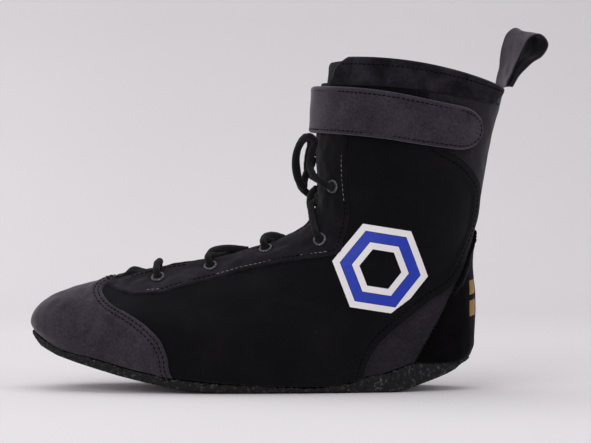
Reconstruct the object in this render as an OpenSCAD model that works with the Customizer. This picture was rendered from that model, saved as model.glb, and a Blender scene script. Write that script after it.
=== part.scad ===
// Boxing boot, left foot: soft lace-up upper on a thin sole, with an ankle strap and a pull loop.
// X runs from toe (-) to heel (+), Y from the outer side (-) to the inner side (+), Z is up.
// The origin is the middle of the flat patch that the boot stands on.

/* [Overall size] */
// Length from toe to heel at the sole seam
sole_len = 274; // [230:1:320]
// Width of the upper across the ball of the foot
ball_w = 92; // [76:1:108]
// Height of the instep where the shaft turns up
instep_h = 102; // [86:1:120]
// Height of the collar at the front
shaft_h = 208; // [170:1:250]

/* [Upper] */
// Thickness of the outer panels
panel_t = 1.3; // [0.9:0.1:1.8]
// Thickness of the ankle padding and of the toe and heel stiffeners
pad_t = 1.0; // [0.8:0.1:1.2]
// Thickness of the lining
lining_t = 1.0; // [0.6:0.1:1.2]
// Thickness of the facings and of the heel counter, which lie on the panels
overlay_t = 1.1; // [0.8:0.1:1.4]
// Thickness of the padded tongue
tongue_t = 3.2; // [2:0.2:4]
// Free space between two layers
layer_gap = 0.6; // [0.5:0.05:0.7]
// Free space between two panels, in degrees round the boot
seam_deg = 0.9; // [0.7:0.1:1.4]

/* [Sole] */
// Thickness of the outsole
sole_t = 3.0; // [2:0.2:5]
// Thickness of the insole board
board_t = 1.5; // [1:0.1:2.5]
// Thickness of the sock liner
liner_t = 1.8; // [1:0.1:3]
// Thickness of the turned-up sole edge
edge_t = 2.0; // [1.4:0.1:2.4]
// Length of the flat patch that the boot stands on
flat_len = 116; // [90:1:130]

/* [Closure] */
// Width of the ankle strap
strap_w = 29; // [22:1:34]
// Thickness of the ankle strap
strap_t = 2.2; // [1.6:0.1:3]
// Thickness of each half of the hook and loop fastener
hook_t = 0.7; // [0.5:0.1:0.9]
// Diameter of the lace
lace_d = 4.6; // [3.6:0.2:5]
// Outer radius of an eyelet's flange
eyelet_r = 4.4; // [3.8:0.1:5]
// Radius of the hole in an eyelet
eyelet_hole_r = 2.5; // [2.3:0.1:3]
// Width of the pull loop's webbing
loop_w = 20; // [14:1:26]
// Thickness of the pull loop's webbing
loop_t = 1.6; // [1.2:0.1:2.2]

/* [Badge] */
// Distance from the badge's middle to the middle of a side
badge_r = 26; // [20:1:28]
// Width of each white band of the badge
white_w = 4; // [3:0.5:5]
// Width of the blue band of the badge
blue_w = 6; // [4:0.5:7]

/* [Hidden] */

// The stations below are drawn for a boot of this size, and these factors stretch them.
sx = sole_len / 274;
sy = ball_w / 92;
design_instep = 102;
design_shaft = 208;
function tall(z) = z <= design_instep ? z * instep_h / design_instep
    : instep_h + (z - design_instep) * (shaft_h - instep_h) / (design_shaft - design_instep);

// The upper is a stack of closed rings. Each station is a ring's height share t, then the x and z
// of its front point on the ridge, then the x and z of its back point on the heel seam.
RINGS = [[0.00, -171, 38, 103, 21], [0.04, -173.5, 44, 104.5, 27], [0.08, -171, 51, 105.3, 33],
         [0.13, -162, 58.5, 105.7, 39.5], [0.20, -145, 65, 106, 48], [0.30, -119, 73, 106, 60],
         [0.42, -85, 80, 105.5, 73], [0.54, -50, 87, 105.5, 86], [0.62, -20, 94, 106.5, 95],
         [0.67, -3, 101, 107.5, 102], [0.71, 5, 111, 109, 109], [0.76, 7.5, 127, 111, 120],
         [0.84, 7.5, 150, 115, 143], [0.92, 8, 176, 120, 167], [1.00, 10, 208, 126, 190]];
// Half widths of a ring at 0, 45, 90, 135 and 180 degrees round from the front, after its t.
WIDTHS = [[0.00, 56, 49, 40, 41, 60], [0.08, 58, 53, 46, 45, 60], [0.16, 55, 52, 46, 45, 58],
          [0.30, 34, 38, 39, 44, 51], [0.54, 22, 26, 34, 40, 42], [0.62, 25, 29, 35, 38, 38],
          [0.67, 31, 34, 35, 36, 36], [0.76, 38, 36, 34, 34, 36], [0.88, 40, 39, 38, 38, 39],
          [1.00, 44, 43, 42, 42, 43]];
// Height of the seam between upper and sole, as [x, z] from toe to heel.
FEATHER = [[-174, 38], [-155, 26.5], [-130, 20], [-101, 12.3], [-82, 8.8], [-65, 6.5], [-50, 5],
           [-30, 4], [20, 4], [30, 6], [38, 9], [51, 11.5], [60, 14.5], [67, 17], [82, 17],
           [97, 18], [106, 22]];
toe_in = 7;       // how far the toe turns towards the inner side
toe_in_from = -20;
waist_t = 0.76;   // above this ring the sole's curve no longer shows
crown_h = 6;      // how far the collar's sides stand above the line from its front to its back

// A smooth curve through rows of [key, values ...], read at key t.
function row_tail(r) = [for (i = [1:len(r) - 1]) r[i]];
function last_row(rows, t) = max([for (j = [0:len(rows) - 2]) if (j == 0 || rows[j][0] <= t) j]);
function secant(rows, j) = (row_tail(rows[j + 1]) - row_tail(rows[j])) / (rows[j + 1][0] - rows[j][0]);
function gap_of(rows, j) = rows[j + 1][0] - rows[j][0];
function slope(rows, j) =
    j <= 0 ? secant(rows, 0)
    : j >= len(rows) - 1 ? secant(rows, len(rows) - 2)
    : (secant(rows, j - 1) * gap_of(rows, j) + secant(rows, j) * gap_of(rows, j - 1))
      / (gap_of(rows, j) + gap_of(rows, j - 1));
function curve(rows, key) =
    let (t = min(max(key, rows[0][0]), rows[len(rows) - 1][0]),
         j = last_row(rows, t), h = gap_of(rows, j), s = (t - rows[j][0]) / h)
    (1 + 2 * s) * pow(1 - s, 2) * row_tail(rows[j]) + s * pow(1 - s, 2) * h * slope(rows, j)
    + s * s * (3 - 2 * s) * row_tail(rows[j + 1]) + s * s * (s - 1) * h * slope(rows, j + 1);
function value(rows, key) = curve(rows, key)[0];

// Half width of ring t at angle a, by a smooth curve through its five widths.
function five(w, j) = w[j < 0 ? 1 : j > 4 ? 3 : j];
function half_width(a, t) =
    let (w = curve(WIDTHS, t), fold = acos(cos(a)), j = min(3, floor(fold / 45)), s = fold / 45 - j,
         p0 = five(w, j - 1), p1 = five(w, j), p2 = five(w, j + 1), p3 = five(w, j + 2))
    0.5 * (2 * p1 + (p2 - p0) * s + (2 * p0 - 5 * p1 + 4 * p2 - p3) * s * s
           + (3 * p1 - p0 - 3 * p2 + p3) * pow(s, 3));
function mix(a, b, k) = a + (b - a) * k;
function toe_turn(x) = toe_in * pow(max(0, (toe_in_from - x) / 150), 2);

// A point of the upper's outer face. Angle a is 0 at the front ridge, -90 at the outer side,
// 90 at the inner side and 180 at the heel seam, and t is 0 at the sole and 1 at the collar.
function skin(a, t) =
    let (r = curve(RINGS, t), u = (1 - cos(a)) / 2, x = mix(r[0], r[2], u),
         x0 = mix(RINGS[0][1], RINGS[0][3], u), z0 = mix(RINGS[0][2], RINGS[0][4], u),
         sag = pow(max(0, 1 - t / waist_t), 1.15),
         crown = crown_h * pow(max(0, (t - waist_t) / (1 - waist_t)), 2),
         z = mix(r[1], r[3], u) + sag * (value(FEATHER, x0) - z0) + crown * pow(sin(a), 2))
    [sx * x, sy * (toe_turn(x) + sin(a) * half_width(a, t)), tall(z)];
// The outward normal there, from two short steps.
step_a = 0.5;
step_t = 0.004;
function normal(a, t) =
    let (back = t > 0.9 ? -1 : 1, p = skin(a, t),
         da = skin(a + step_a, t) - p, dt = (skin(a, t + back * step_t) - p) * back,
         n = cross(dt, da))
    n / norm(n);
function off(a, t, d) = skin(a, t) + d * normal(a, t);

// Depths of the layers, outwards positive: the panels' outer face is at 0.
overlay_in = layer_gap;
overlay_out = overlay_in + overlay_t;
pad_out = -panel_t - layer_gap;
pad_in = pad_out - pad_t;
lining_out = pad_in - layer_gap;
lining_in = lining_out - lining_t;
tongue_gap = 0.9;
tongue_out = lining_in - tongue_gap;
tongue_in = tongue_out - tongue_t;
patch_gap = 0.4;
loop_patch_out = layer_gap + hook_t;
hook_patch_in = loop_patch_out + patch_gap;
hook_patch_out = hook_patch_in + hook_t;
strap_in = max(hook_patch_out + patch_gap, overlay_out + layer_gap);
strap_out = strap_in + strap_t;

// Triangles of a closed sheet: rows of n points, the outer face's points before the inner face's.
function two(a, b, c, d) = [[a, b, c], [a, c, d]];
function sheet_faces(m, n) =
    let (k = m * n)
    [for (i = [0:m - 2], j = [0:n - 2], f = two(i * n + j, (i + 1) * n + j,
         (i + 1) * n + j + 1, i * n + j + 1)) f,
     for (i = [0:m - 2], j = [0:n - 2], f = two(k + i * n + j, k + i * n + j + 1,
         k + (i + 1) * n + j + 1, k + (i + 1) * n + j)) f,
     for (i = [0:m - 2], f = two(i * n, k + i * n, k + (i + 1) * n, (i + 1) * n)) f,
     for (i = [0:m - 2], f = two(i * n + n - 1, (i + 1) * n + n - 1,
         k + (i + 1) * n + n - 1, k + i * n + n - 1)) f,
     for (j = [0:n - 2], f = two(j, j + 1, k + j + 1, k + j)) f,
     for (j = [0:n - 2], f = two((m - 1) * n + j, k + (m - 1) * n + j,
         k + (m - 1) * n + j + 1, (m - 1) * n + j + 1)) f];
function turned(faces) = [for (f = faces) [f[2], f[1], f[0]]];

// A sheet between two depths over rows at t = row(0 ... rows), from angle from(t) to angle to(t).
module row_sheet(row, rows, cols, from, to, outer, inner) {
    at = [for (i = [0:rows]) let (t = row(i), a = from(t), b = to(t))
          for (j = [0:cols]) let (g = mix(a, b, j / cols)) [skin(g, t), normal(g, t)]];
    polyhedron([for (p = at) p[0] + outer * p[1], for (p = at) p[0] + inner * p[1]],
               sheet_faces(rows + 1, cols + 1));
}
module sheet(low, high, rows, cols, from, to, outer, inner) {
    row_sheet(function (i) mix(low, high, i / rows), rows, cols, from, to, outer, inner);
}

// The panels' borders, as [t, degrees round from the front].
CAP_EDGE = [[0, 70], [0.09, 67], [0.13, 62], [0.17, 52], [0.21, 34], [0.24, 21], [0.27, 15], [0.30, 10]];
THROAT = [[0.27, 14], [0.42, 18], [0.54, 22], [0.62, 20], [0.67, 16], [0.76, 13], [1.0, 11]];
BACK_EDGE = [[0, 121], [0.06, 122], [0.12, 124], [0.20, 129], [0.27, 137], [0.38, 151], [0.50, 160],
             [0.58, 165], [0.66, 169], [0.71, 168.5], [0.75, 167], [0.79, 161], [0.82, 147], [0.845, 131],
             [0.865, 113], [0.89, 104], [0.96, 100]];
COUNTER_EDGE = [[0, 138], [0.1, 142], [0.22, 146], [0.33, 150], [0.51, 160], [0.6, 168], [0.66, 175]];
FACING_EDGE = [[0.255, 34], [0.286, 44], [0.32, 46], [0.39, 49], [0.48, 55], [0.545, 64], [0.583, 76],
               [0.62, 72], [0.65, 65], [0.70, 57], [0.75, 52], [0.96, 51]];
foot_t = 0.006;     // lowest ring of the panels
cap_top = 0.295;
quarter_top = 0.955;
collar_low = 0.964;
collar_back = 161;  // where the collar bands stop beside the back panel
function front_edge(t) = t < 0.27 ? value(CAP_EDGE, t) : value(THROAT, t);
function back_edge(t) = t < 0.96 ? value(BACK_EDGE, t) : collar_back;

// A panel of the outer side runs from -to to -from degrees, and one of the inner side from from to to.
module side_sheet(side, low, high, rows, cols, from, to, outer, inner) {
    if (side < 0)
        sheet(low, high, rows, cols, function (t) -to(t), function (t) -from(t), outer, inner);
    else
        sheet(low, high, rows, cols, from, to, outer, inner);
}

// Sole
rest_from = -flat_len / 2;
rest_to = flat_len / 2;
// Underside of the sole along its middle, as [x, z]
function rocker() = [[-172 * sx, tall(33)], [-166 * sx, tall(27)], [-155 * sx, tall(22)],
                     [-142 * sx, tall(18)], [-130 * sx, tall(14.6)], [-115 * sx, tall(10.4)],
                     [-98 * sx, tall(6.4)], [-84 * sx, tall(3.6)], [-72 * sx, tall(1.4)], [rest_from, 0],
                     [rest_to, 0], [65 * sx, tall(2)], [73 * sx, tall(4.8)], [81 * sx, tall(7.6)],
                     [89 * sx, tall(10.6)], [95 * sx, tall(14)], [100 * sx, tall(18.5)], [103 * sx, tall(23)]];
function line_at(pts, x, j = 0) =
    j >= len(pts) - 2 || x <= pts[j + 1][0]
    ? mix(pts[j][1], pts[j + 1][1], min(1, max(0, (x - pts[j][0]) / (pts[j + 1][0] - pts[j][0]))))
    : line_at(pts, x, j + 1);
function rise(pts, d) = [for (p = pts) [p[0], p[1] + d]];
// Outline of the sole seam, moved inwards by d
outline_n = 44;
function seam_point(k) = skin(360 * k / outline_n, 0);
function inset_point(k, d) =
    let (p = seam_point(k), q = seam_point(k + 1) - seam_point(k - 1), l = norm([q[0], q[1]]))
    [p[0] + d * q[1] / l, p[1] - d * q[0] / l];
module outline(d) {
    polygon([for (k = [0:outline_n - 1]) inset_point(k, d)]);
}
// A layer of the sole from height low to high above the rocker
module sole_layer(d, low, high) {
    bottom = rise(rocker(), low);
    top = rise(rocker(), high);
    intersection() {
        linear_extrude(height = tall(60)) outline(d);
        rotate([90, 0, 0]) linear_extrude(height = 2 * ball_w, center = true)
            polygon([[bottom[0][0] - 10, bottom[0][1] + 8], each bottom,
                     [bottom[len(bottom) - 1][0] + 6, bottom[len(bottom) - 1][1] + 8],
                     [top[len(top) - 1][0] + 6, top[len(top) - 1][1] + 8],
                     for (k = [len(top) - 1:-1:0]) top[k], [top[0][0] - 10, top[0][1] + 8]]);
    }
}
board_low = sole_t + layer_gap;
board_high = board_low + board_t;
sock_low = board_high + layer_gap;
sock_high = sock_low + liner_t;
edge_inset = edge_t + 0.5;   // the outsole ends this far inside the seam
board_inset = 6;
sock_inset = 8.5;

module outsole() {
    color("#141216") sole_layer(edge_inset, 0, sole_t);
}
// A rim round the outsole, from just above the ground to the seam.
module sole_edge() {
    foot_gap = 0.8;
    ring = [for (k = [0:outline_n - 1])
        let (p = seam_point(k), i = inset_point(k, edge_t), s = line_at(rocker(), p[0]),
             top = p[2] - layer_gap, low = min(s + foot_gap, top - 1.5))
        each [[p[0], p[1], min(low + 1.2, top - 0.6)], [p[0], p[1], top],
              [i[0], i[1], top], [i[0], i[1], low]]];
    faces = [for (k = [0:outline_n - 1], j = [0:3])
        let (n = (k + 1) % outline_n, m = (j + 1) % 4)
        each two(4 * k + j, 4 * k + m, 4 * n + m, 4 * n + j)];
    color("#1c1a1d") polyhedron(ring, faces);
}
module insole_board() {
    color("#8a7a66") sole_layer(board_inset, board_low, board_high);
}
module sock_liner() {
    color("#232127") sole_layer(sock_inset, sock_low, sock_high);
}

// Forepart
module toe_cap() {
    color("#403842") sheet(foot_t, cap_top, 12, 20, function (t) -value(CAP_EDGE, t) + seam_deg / 2,
                           function (t) value(CAP_EDGE, t) - seam_deg / 2, 0, -panel_t);
}
puff_deg = 50;
puff_top = 0.16;
module toe_puff() {
    color("#c9c2b4") sheet(0.03, puff_top, 5, 16, function (t) -puff_deg + 90 * t,
                           function (t) puff_deg - 90 * t, pad_out, pad_in);
}
module vamp_lining() {
    color("#2b2930") sheet(0.03, cap_top - 0.01, 10, 20, function (t) 2 - value(CAP_EDGE, t),
                           function (t) value(CAP_EDGE, t) - 2, lining_out, lining_in);
}

// Quarters, with the padding and the lining nested under them row by row
quarter_rows = 26;
quarter_cols = 11;
function quarter_row(k) = mix(foot_t, quarter_top, k / quarter_rows);
module quarter_layer(side, first, last, outer, inner) {
    side_sheet(side, quarter_row(first), quarter_row(last), last - first, quarter_cols,
        function (t) front_edge(t) + seam_deg / 2, function (t) back_edge(t) - seam_deg / 2, outer, inner);
}
module quarter_outer_side() {
    color("#141217") quarter_layer(-1, 0, quarter_rows, 0, -panel_t);
}
module quarter_inner_side() {
    color("#141217") quarter_layer(1, 0, quarter_rows, 0, -panel_t);
}
module ankle_pad_outer_side() {
    color("#3a3940") quarter_layer(-1, 2, quarter_rows, pad_out, pad_in);
}
module ankle_pad_inner_side() {
    color("#3a3940") quarter_layer(1, 2, quarter_rows, pad_out, pad_in);
}
module lining_outer_side() {
    color("#26242b") quarter_layer(-1, 1, quarter_rows, lining_out, lining_in);
}
module lining_inner_side() {
    color("#26242b") quarter_layer(1, 1, quarter_rows, lining_out, lining_in);
}

// Heel
// Its rows are the quarters' rows, then three from the collar's lower edge to the top.
back_rows = quarter_rows + 3;
back_cols = 10;
function back_row(k) = k <= quarter_rows ? quarter_row(k) : mix(collar_low, 1, (k - quarter_rows - 1) / 2);
module back_layer(first, last, outer, inner) {
    row_sheet(function (i) back_row(first + i), last - first, back_cols,
              function (t) back_edge(t) + seam_deg / 2, function (t) 360 - back_edge(t) - seam_deg / 2,
              outer, inner);
}
module back_panel() {
    color("#2a252c") back_layer(0, back_rows, 0, -panel_t);
}
module heel_lining() {
    color("#26242b") back_layer(1, back_rows, lining_out, lining_in);
}
module heel_counter() {
    color("#0c0a0d") sheet(foot_t, 0.66, 14, 10, function (t) value(COUNTER_EDGE, t),
                           function (t) 360 - value(COUNTER_EDGE, t), overlay_out, overlay_in);
}
module heel_stiffener() {
    color("#c9c2b4") back_layer(2, 12, pad_out, pad_in);
}

// Collar bands, with a rounded front corner, and their lining
collar_front = 14;
module collar_layer(side, outer, inner) {
    side_sheet(side, collar_low, 1, 5, 16,
        function (t) collar_front + 9 * pow(max(0, (t - 0.97) / 0.03), 2),
        function (t) collar_back - seam_deg, outer, inner);
}
module collar_outer_side() {
    color("#1b181e") collar_layer(-1, 0, -panel_t);
}
module collar_inner_side() {
    color("#1b181e") collar_layer(1, 0, -panel_t);
}
module collar_lining_outer_side() {
    color("#26242b") collar_layer(-1, -panel_t - layer_gap, lining_in);
}
module collar_lining_inner_side() {
    color("#26242b") collar_layer(1, -panel_t - layer_gap, lining_in);
}

// Facings and eyelets
module facing(side) {
    color("#24212a") side_sheet(side, 0.262, quarter_top, 22, 5,
        function (t) value(THROAT, t) + 0.3, function (t) value(FACING_EDGE, t), overlay_out, overlay_in);
}
module facing_outer_side() facing(-1);
module facing_inner_side() facing(1);
// Places of the eyelets, as [degrees, t]
EYELETS = [[30, 0.349], [34, 0.46], [33, 0.58], [52, 0.64], [38, 0.765]];
flange_t = 0.8;
flange_gap = 0.45;
module eyelet_row(side) {
    for (e = EYELETS) {
        p = off(side * e[0], e[1], overlay_out + flange_gap);
        n = normal(side * e[0], e[1]);
        color("#2c2b2e") translate(p) rotate([0, acos(n[2]), atan2(n[1], n[0])]) difference() {
            cylinder(h = flange_t, r = eyelet_r, $fn = 48);
            translate([0, 0, -1]) cylinder(h = flange_t + 2, r = eyelet_hole_r, $fn = 48);
        }
    }
}
module eyelets_outer_side() eyelet_row(-1);
module eyelets_inner_side() eyelet_row(1);

// Tongue: its base lies under the lower lacing, and its upper part can tip inwards
tongue_deg = 36;
tongue_low = 0.715;
module tongue_base() {
    color("#201e24") sheet(0.30, 0.69, 14, 8, function (t) -34, function (t) 34, tongue_out, tongue_in);
}
module tongue() {
    color("#201e24") sheet(tongue_low, 0.995, 10, 12, function (t) -tongue_deg, function (t) tongue_deg,
                           tongue_out, tongue_in);
}

// Ankle strap: an anchor sewn to the inner side, a front part and a flap that closes on the outer side
strap_mid = [[-150, 0.898], [-125, 0.902], [-108, 0.905], [-74, 0.917], [0, 0.925], [90, 0.915]];
ring_mm = (tall(208) - tall(150)) / 0.16;   // height of the shaft for one unit of t
strap_half = strap_w / 2 / ring_mm;
fold_deg = 24;       // the strap folds here, on both sides of the front
fold_gap = 0.45;
flap_end = 148;
flap_round = 17;     // degrees over which the flap's end is rounded
anchor_end = 82;
function strap_rim(a) =
    let (s = max(0, (-a - flap_end + flap_round) / flap_round)) strap_half * sqrt(max(0.02, 1 - s * s));
// A sheet along the strap: columns of a, each from the strap's lower to its upper edge less a margin.
module band(from, to, cols, rows, outer, inner, margin = 0) {
    at = [for (i = [0:cols]) let (a = mix(from, to, i / cols), m = value(strap_mid, a),
              h = strap_rim(a) - margin / ring_mm)
          for (j = [0:rows]) let (t = m - h + 2 * h * j / rows) [skin(a, t), normal(a, t)]];
    polyhedron([for (p = at) p[0] + outer * p[1], for (p = at) p[0] + inner * p[1]],
               turned(sheet_faces(cols + 1, rows + 1)));
}
module strap_anchor() {
    color("#342d38") band(fold_deg + fold_gap, anchor_end, 10, 3, strap_out, strap_in);
}
module strap_front() {
    color("#342d38") band(-fold_deg + fold_gap, fold_deg - fold_gap, 10, 3, strap_out, strap_in);
}
module strap_flap() {
    color("#342d38") band(-flap_end, -fold_deg - fold_gap, 26, 4, strap_out, strap_in);
}
patch_from = -134;
patch_to = -62;
patch_margin = 3;
module hook_patch() {
    color("#1a191c") band(patch_from, patch_to, 16, 3, hook_patch_out, hook_patch_in, patch_margin);
}
module loop_patch() {
    color("#1a191c") band(patch_from, patch_to, 16, 3, loop_patch_out, layer_gap, patch_margin);
}

// A tube of radius r along a list of points, with side faces round it
function along(pts, k) =
    let (a = pts[max(0, k - 1)], b = pts[min(len(pts) - 1, k + 1)]) (b - a) / norm(b - a);
function carry(pts, k = 0, v = [0.3, 0.2, 1]) =
    let (d = along(pts, k), w = v - (v * d) * d, u = w / norm(w))
    k == len(pts) - 1 ? [u] : [u, each carry(pts, k + 1, u)];
function smooth(pts, n) =
    [for (k = [0:len(pts) - 2], s = [0:n - 1])
        let (p0 = pts[max(0, k - 1)], p1 = pts[k], p2 = pts[k + 1],
             p3 = pts[min(len(pts) - 1, k + 2)], v = s / n)
        0.5 * (2 * p1 + (p2 - p0) * v + (2 * p0 - 5 * p1 + 4 * p2 - p3) * v * v
               + (3 * p1 - p0 - 3 * p2 + p3) * pow(v, 3)),
     pts[len(pts) - 1]];
module tube(pts, r, sides = 8) {
    up = carry(pts);
    last = len(pts) - 1;
    rings = [for (k = [0:last]) let (d = along(pts, k), u = up[k], w = cross(d, u))
             for (j = [0:sides - 1]) pts[k] + r * (cos(360 * j / sides) * u + sin(360 * j / sides) * w)];
    walls = [for (k = [0:last - 1], j = [0:sides - 1]) let (m = (j + 1) % sides)
             each two(sides * k + j, sides * (k + 1) + j, sides * (k + 1) + m, sides * k + m)];
    ends = [for (j = [1:sides - 2]) each [[0, j, j + 1],
            [sides * last, sides * last + j + 1, sides * last + j]]];
    polyhedron(rings, [each walls, each ends]);
}

// Lacing: each run leaves an eyelet, crosses the ridge and goes down inside the far facing's edge.
lace_rest = overlay_out + flange_gap + flange_t + lace_d / 2;
LOW_RUN = [[0, 0.4], [0.26, 0.2], [0.5, -2.8], [0.72, -4.9], [1, -7.2]];
HIGH_RUN = [[0, 0.4], [0.26, 0.9], [0.5, 1.2], [0.72, 0.1], [1, -5.8]];
run_n = 9;
inside_deg = 7;
edge_share = 0.26;   // share of a run, in the two tables, where it leaves the near facing
function run(side, from, to, heights) =
    let (w = value(THROAT, to[1]), e = (from[0] - w) / (from[0] + w - inside_deg))
    [for (k = [0:run_n])
        let (s = k / run_n, h = s < e ? edge_share * s / e : edge_share + (1 - edge_share) * (s - e) / (1 - e))
        off(side * mix(from[0], inside_deg - w, s), mix(from[1], to[1], s), lace_rest + value(heights, h))];
bar_n = 8;
module lacing() {
    color("#1b191c") {
        tube([for (k = [0:bar_n]) off(mix(-EYELETS[0][0], EYELETS[0][0], k / bar_n),
              EYELETS[0][1] + 0.02 * sin(180 * k / bar_n), lace_rest + 0.3)], lace_d / 2);
        for (i = [1:3]) {
            tube(run(-1, EYELETS[i], EYELETS[i + 1], LOW_RUN), lace_d / 2);
            tube(run(1, EYELETS[i], EYELETS[i + 1], HIGH_RUN), lace_d / 2);
        }
    }
}

// The bow, as free lace: hand-set points from the top eyelets through the knot, a loop and an end.
BOW_OUTER = [[15.9, -25.8, 127.9], [12, -28.8, 130], [6, -25.5, 134.5], [3.5, -20.5, 141],
             [4.5, -20, 149], [6.5, -21.5, 155.5], [3, -21.5, 159], [-1.5, -18, 156], [-4.8, -14.5, 149],
             [-5.6, -12.5, 140.5], [-4, -11, 132.5], [-0.5, -8.5, 127.5], [0, -4, 131], [1.5, -3, 136],
             [4.5, -3, 141], [6.2, -3, 146.5]];
BOW_INNER = [[15.9, 25.8, 127.9], [12, 28.8, 130], [5, 24, 134], [2, 16, 138], [2.5, 12.5, 147],
             [4, 14, 155], [1, 16, 159], [-3, 12, 154], [-5, 8.5, 146], [-4.5, 6.5, 138], [-3, 8, 130],
             [-1, 13, 126], [4, 20, 122], [10, 27, 120]];
module lace_bow_outer() {
    color("#1b191c") tube(smooth(BOW_OUTER, 2), lace_d / 2);
}
module lace_bow_inner() {
    color("#1b191c") tube(smooth(BOW_INNER, 2), lace_d / 2);
}
aglet_len = 12;
module aglets() {
    for (b = [BOW_OUTER, BOW_INNER]) {
        p = b[len(b) - 1];
        d = p - b[len(b) - 2];
        u = d / norm(d);
        color("#111013") translate(p + 0.3 * u) rotate([0, acos(u[2]), atan2(u[1], u[0])])
            cylinder(h = aglet_len, r = lace_d / 2 - 0.5, $fn = 32);
    }
}

// Pull loop: a band of webbing that leaves the collar's back, turns over and comes down outside
loop_foot = [126 * sx, 0, tall(190)];
LOOP = [[-0.9, 0.6], [0.4, 8], [3, 20], [5.5, 30], [9, 35.5], [14, 37], [20, 34.5], [23, 29], [21.5, 22],
        [16, 14], [9, 7], [2.6, 0.7]];
loop_twist = -16;
loop_twist_h = 12;   // height over which the webbing twists that far
loop_tilt = 0;
module pull_loop() {
    mid = smooth([for (p = LOOP) loop_foot + [p[0], 0, p[1]]], 2);
    last = len(mid) - 1;
    rings = [for (k = [0:last])
        let (d = along(mid, k), s = min(1, (mid[k][2] - loop_foot[2]) / loop_twist_h), g = loop_twist * s,
             lean = [sin(g), cos(g), loop_tilt * s], side = lean / norm(lean), n = cross(d, side), out = n / norm(n))
        each [for (c = [[-1, -1], [1, -1], [1, 1], [-1, 1]])
              mid[k] + c[0] * loop_w / 2 * side + c[1] * loop_t / 2 * out]];
    walls = [for (k = [0:last - 1], j = [0:3]) let (m = (j + 1) % 4)
             each two(4 * k + j, 4 * k + m, 4 * (k + 1) + m, 4 * (k + 1) + j)];
    color("#4c444e") polyhedron(rings, [each walls, each two(3, 2, 1, 0),
                                        each two(4 * last, 4 * last + 1, 4 * last + 2, 4 * last + 3)]);
}
module pull_loop_anchor() {
    color("#4c444e") sheet(0.94, 0.994, 4, 4, function (t) 170, function (t) 190, pad_out, pad_in);
}

// Badge: a ring of three bands in the shape of a hexagon on the outer side, and bars on the heel
badge_mid = [47 * sx, tall(77)];
badge_turn = 21;
// The angle and t of the outer side's point at x and z, by Newton's method
function find(x, z, a = -95, t = 0.5, left = 6) =
    let (p = skin(a, t), pa = (skin(a + 1, t) - p), pt = (skin(a, t + 0.01) - p) / 0.01,
         det = pa[0] * pt[2] - pa[2] * pt[0], ex = x - p[0], ez = z - p[2],
         na = a + (ex * pt[2] - ez * pt[0]) / det, nt = t + (pa[0] * ez - pa[2] * ex) / det)
    left == 0 ? [na, nt] : find(x, z, na, nt, left - 1);
hex_steps = 3;
function hex_point(r, k) =
    let (c = floor(k / hex_steps), s = (k % hex_steps) / hex_steps, l = r / cos(30),
         p = l * [cos(60 * c + 30 + badge_turn), sin(60 * c + 30 + badge_turn)],
         q = l * [cos(60 * c + 90 + badge_turn), sin(60 * c + 90 + badge_turn)])
    mix(p, q, s);
module hex_band(r_out, r_in, outer, inner) {
    n = 6 * hex_steps;
    at = [for (r = [r_out, (r_out + r_in) / 2, r_in], k = [0:n - 1])
          let (p = hex_point(r, k), g = find(badge_mid[0] + p[0], badge_mid[1] + p[1]))
          [skin(g[0], g[1]), normal(g[0], g[1])]];
    m = 3 * n;
    polyhedron([for (p = at) p[0] + outer * p[1], for (p = at) p[0] + inner * p[1]],
        [for (k = [0:n - 1]) let (j = (k + 1) % n) each [
            each two(k, n + k, n + j, j),
            each two(n + k, 2 * n + k, 2 * n + j, n + j),
            each two(m + k, m + j, m + n + j, m + n + k),
            each two(m + n + k, m + n + j, m + 2 * n + j, m + 2 * n + k),
            each two(k, j, m + j, m + k),
            each two(2 * n + k, m + 2 * n + k, m + 2 * n + j, 2 * n + j)]]);
}
print_t = 0.4;
print_gap = 0.45;
band_gap = 0.3;
module badge_white() {
    inner_r = badge_r - white_w - band_gap - blue_w - band_gap;
    color("#e1dcdc") {
        hex_band(badge_r, badge_r - white_w, print_gap + print_t, print_gap);
        hex_band(inner_r, inner_r - white_w, print_gap + print_t, print_gap);
    }
}
module badge_blue() {
    r = badge_r - white_w - band_gap;
    color("#1c37a5") hex_band(r, r - blue_w, print_gap + print_t, print_gap);
}
module heel_bars() {
    for (low = [0.20, 0.31])
        color("#82602d") sheet(low, low + 0.08, 2, 2, function (t) -174, function (t) -165,
                               overlay_out + print_gap + print_t, overlay_out + print_gap);
}

outsole();
sole_edge();
insole_board();
sock_liner();
toe_cap();
toe_puff();
vamp_lining();
quarter_outer_side();
quarter_inner_side();
ankle_pad_outer_side();
ankle_pad_inner_side();
lining_outer_side();
lining_inner_side();
back_panel();
heel_counter();
heel_stiffener();
heel_lining();
collar_outer_side();
collar_inner_side();
collar_lining_outer_side();
collar_lining_inner_side();
facing_outer_side();
facing_inner_side();
eyelets_outer_side();
eyelets_inner_side();
tongue_base();
tongue();
lacing();
lace_bow_outer();
lace_bow_inner();
aglets();
strap_anchor();
strap_front();
strap_flap();
hook_patch();
loop_patch();
pull_loop_anchor();
pull_loop();
badge_white();
badge_blue();
heel_bars();
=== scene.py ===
"""A soft boxing boot around its CAD frame: every visible panel, seam, lace and strap, with its material.

Lengths here are in millimetres until a mesh is made, and the boot stands as in the frame: X from
toe to heel, Y from the outer to the inner side, Z up.
"""
import math

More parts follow.
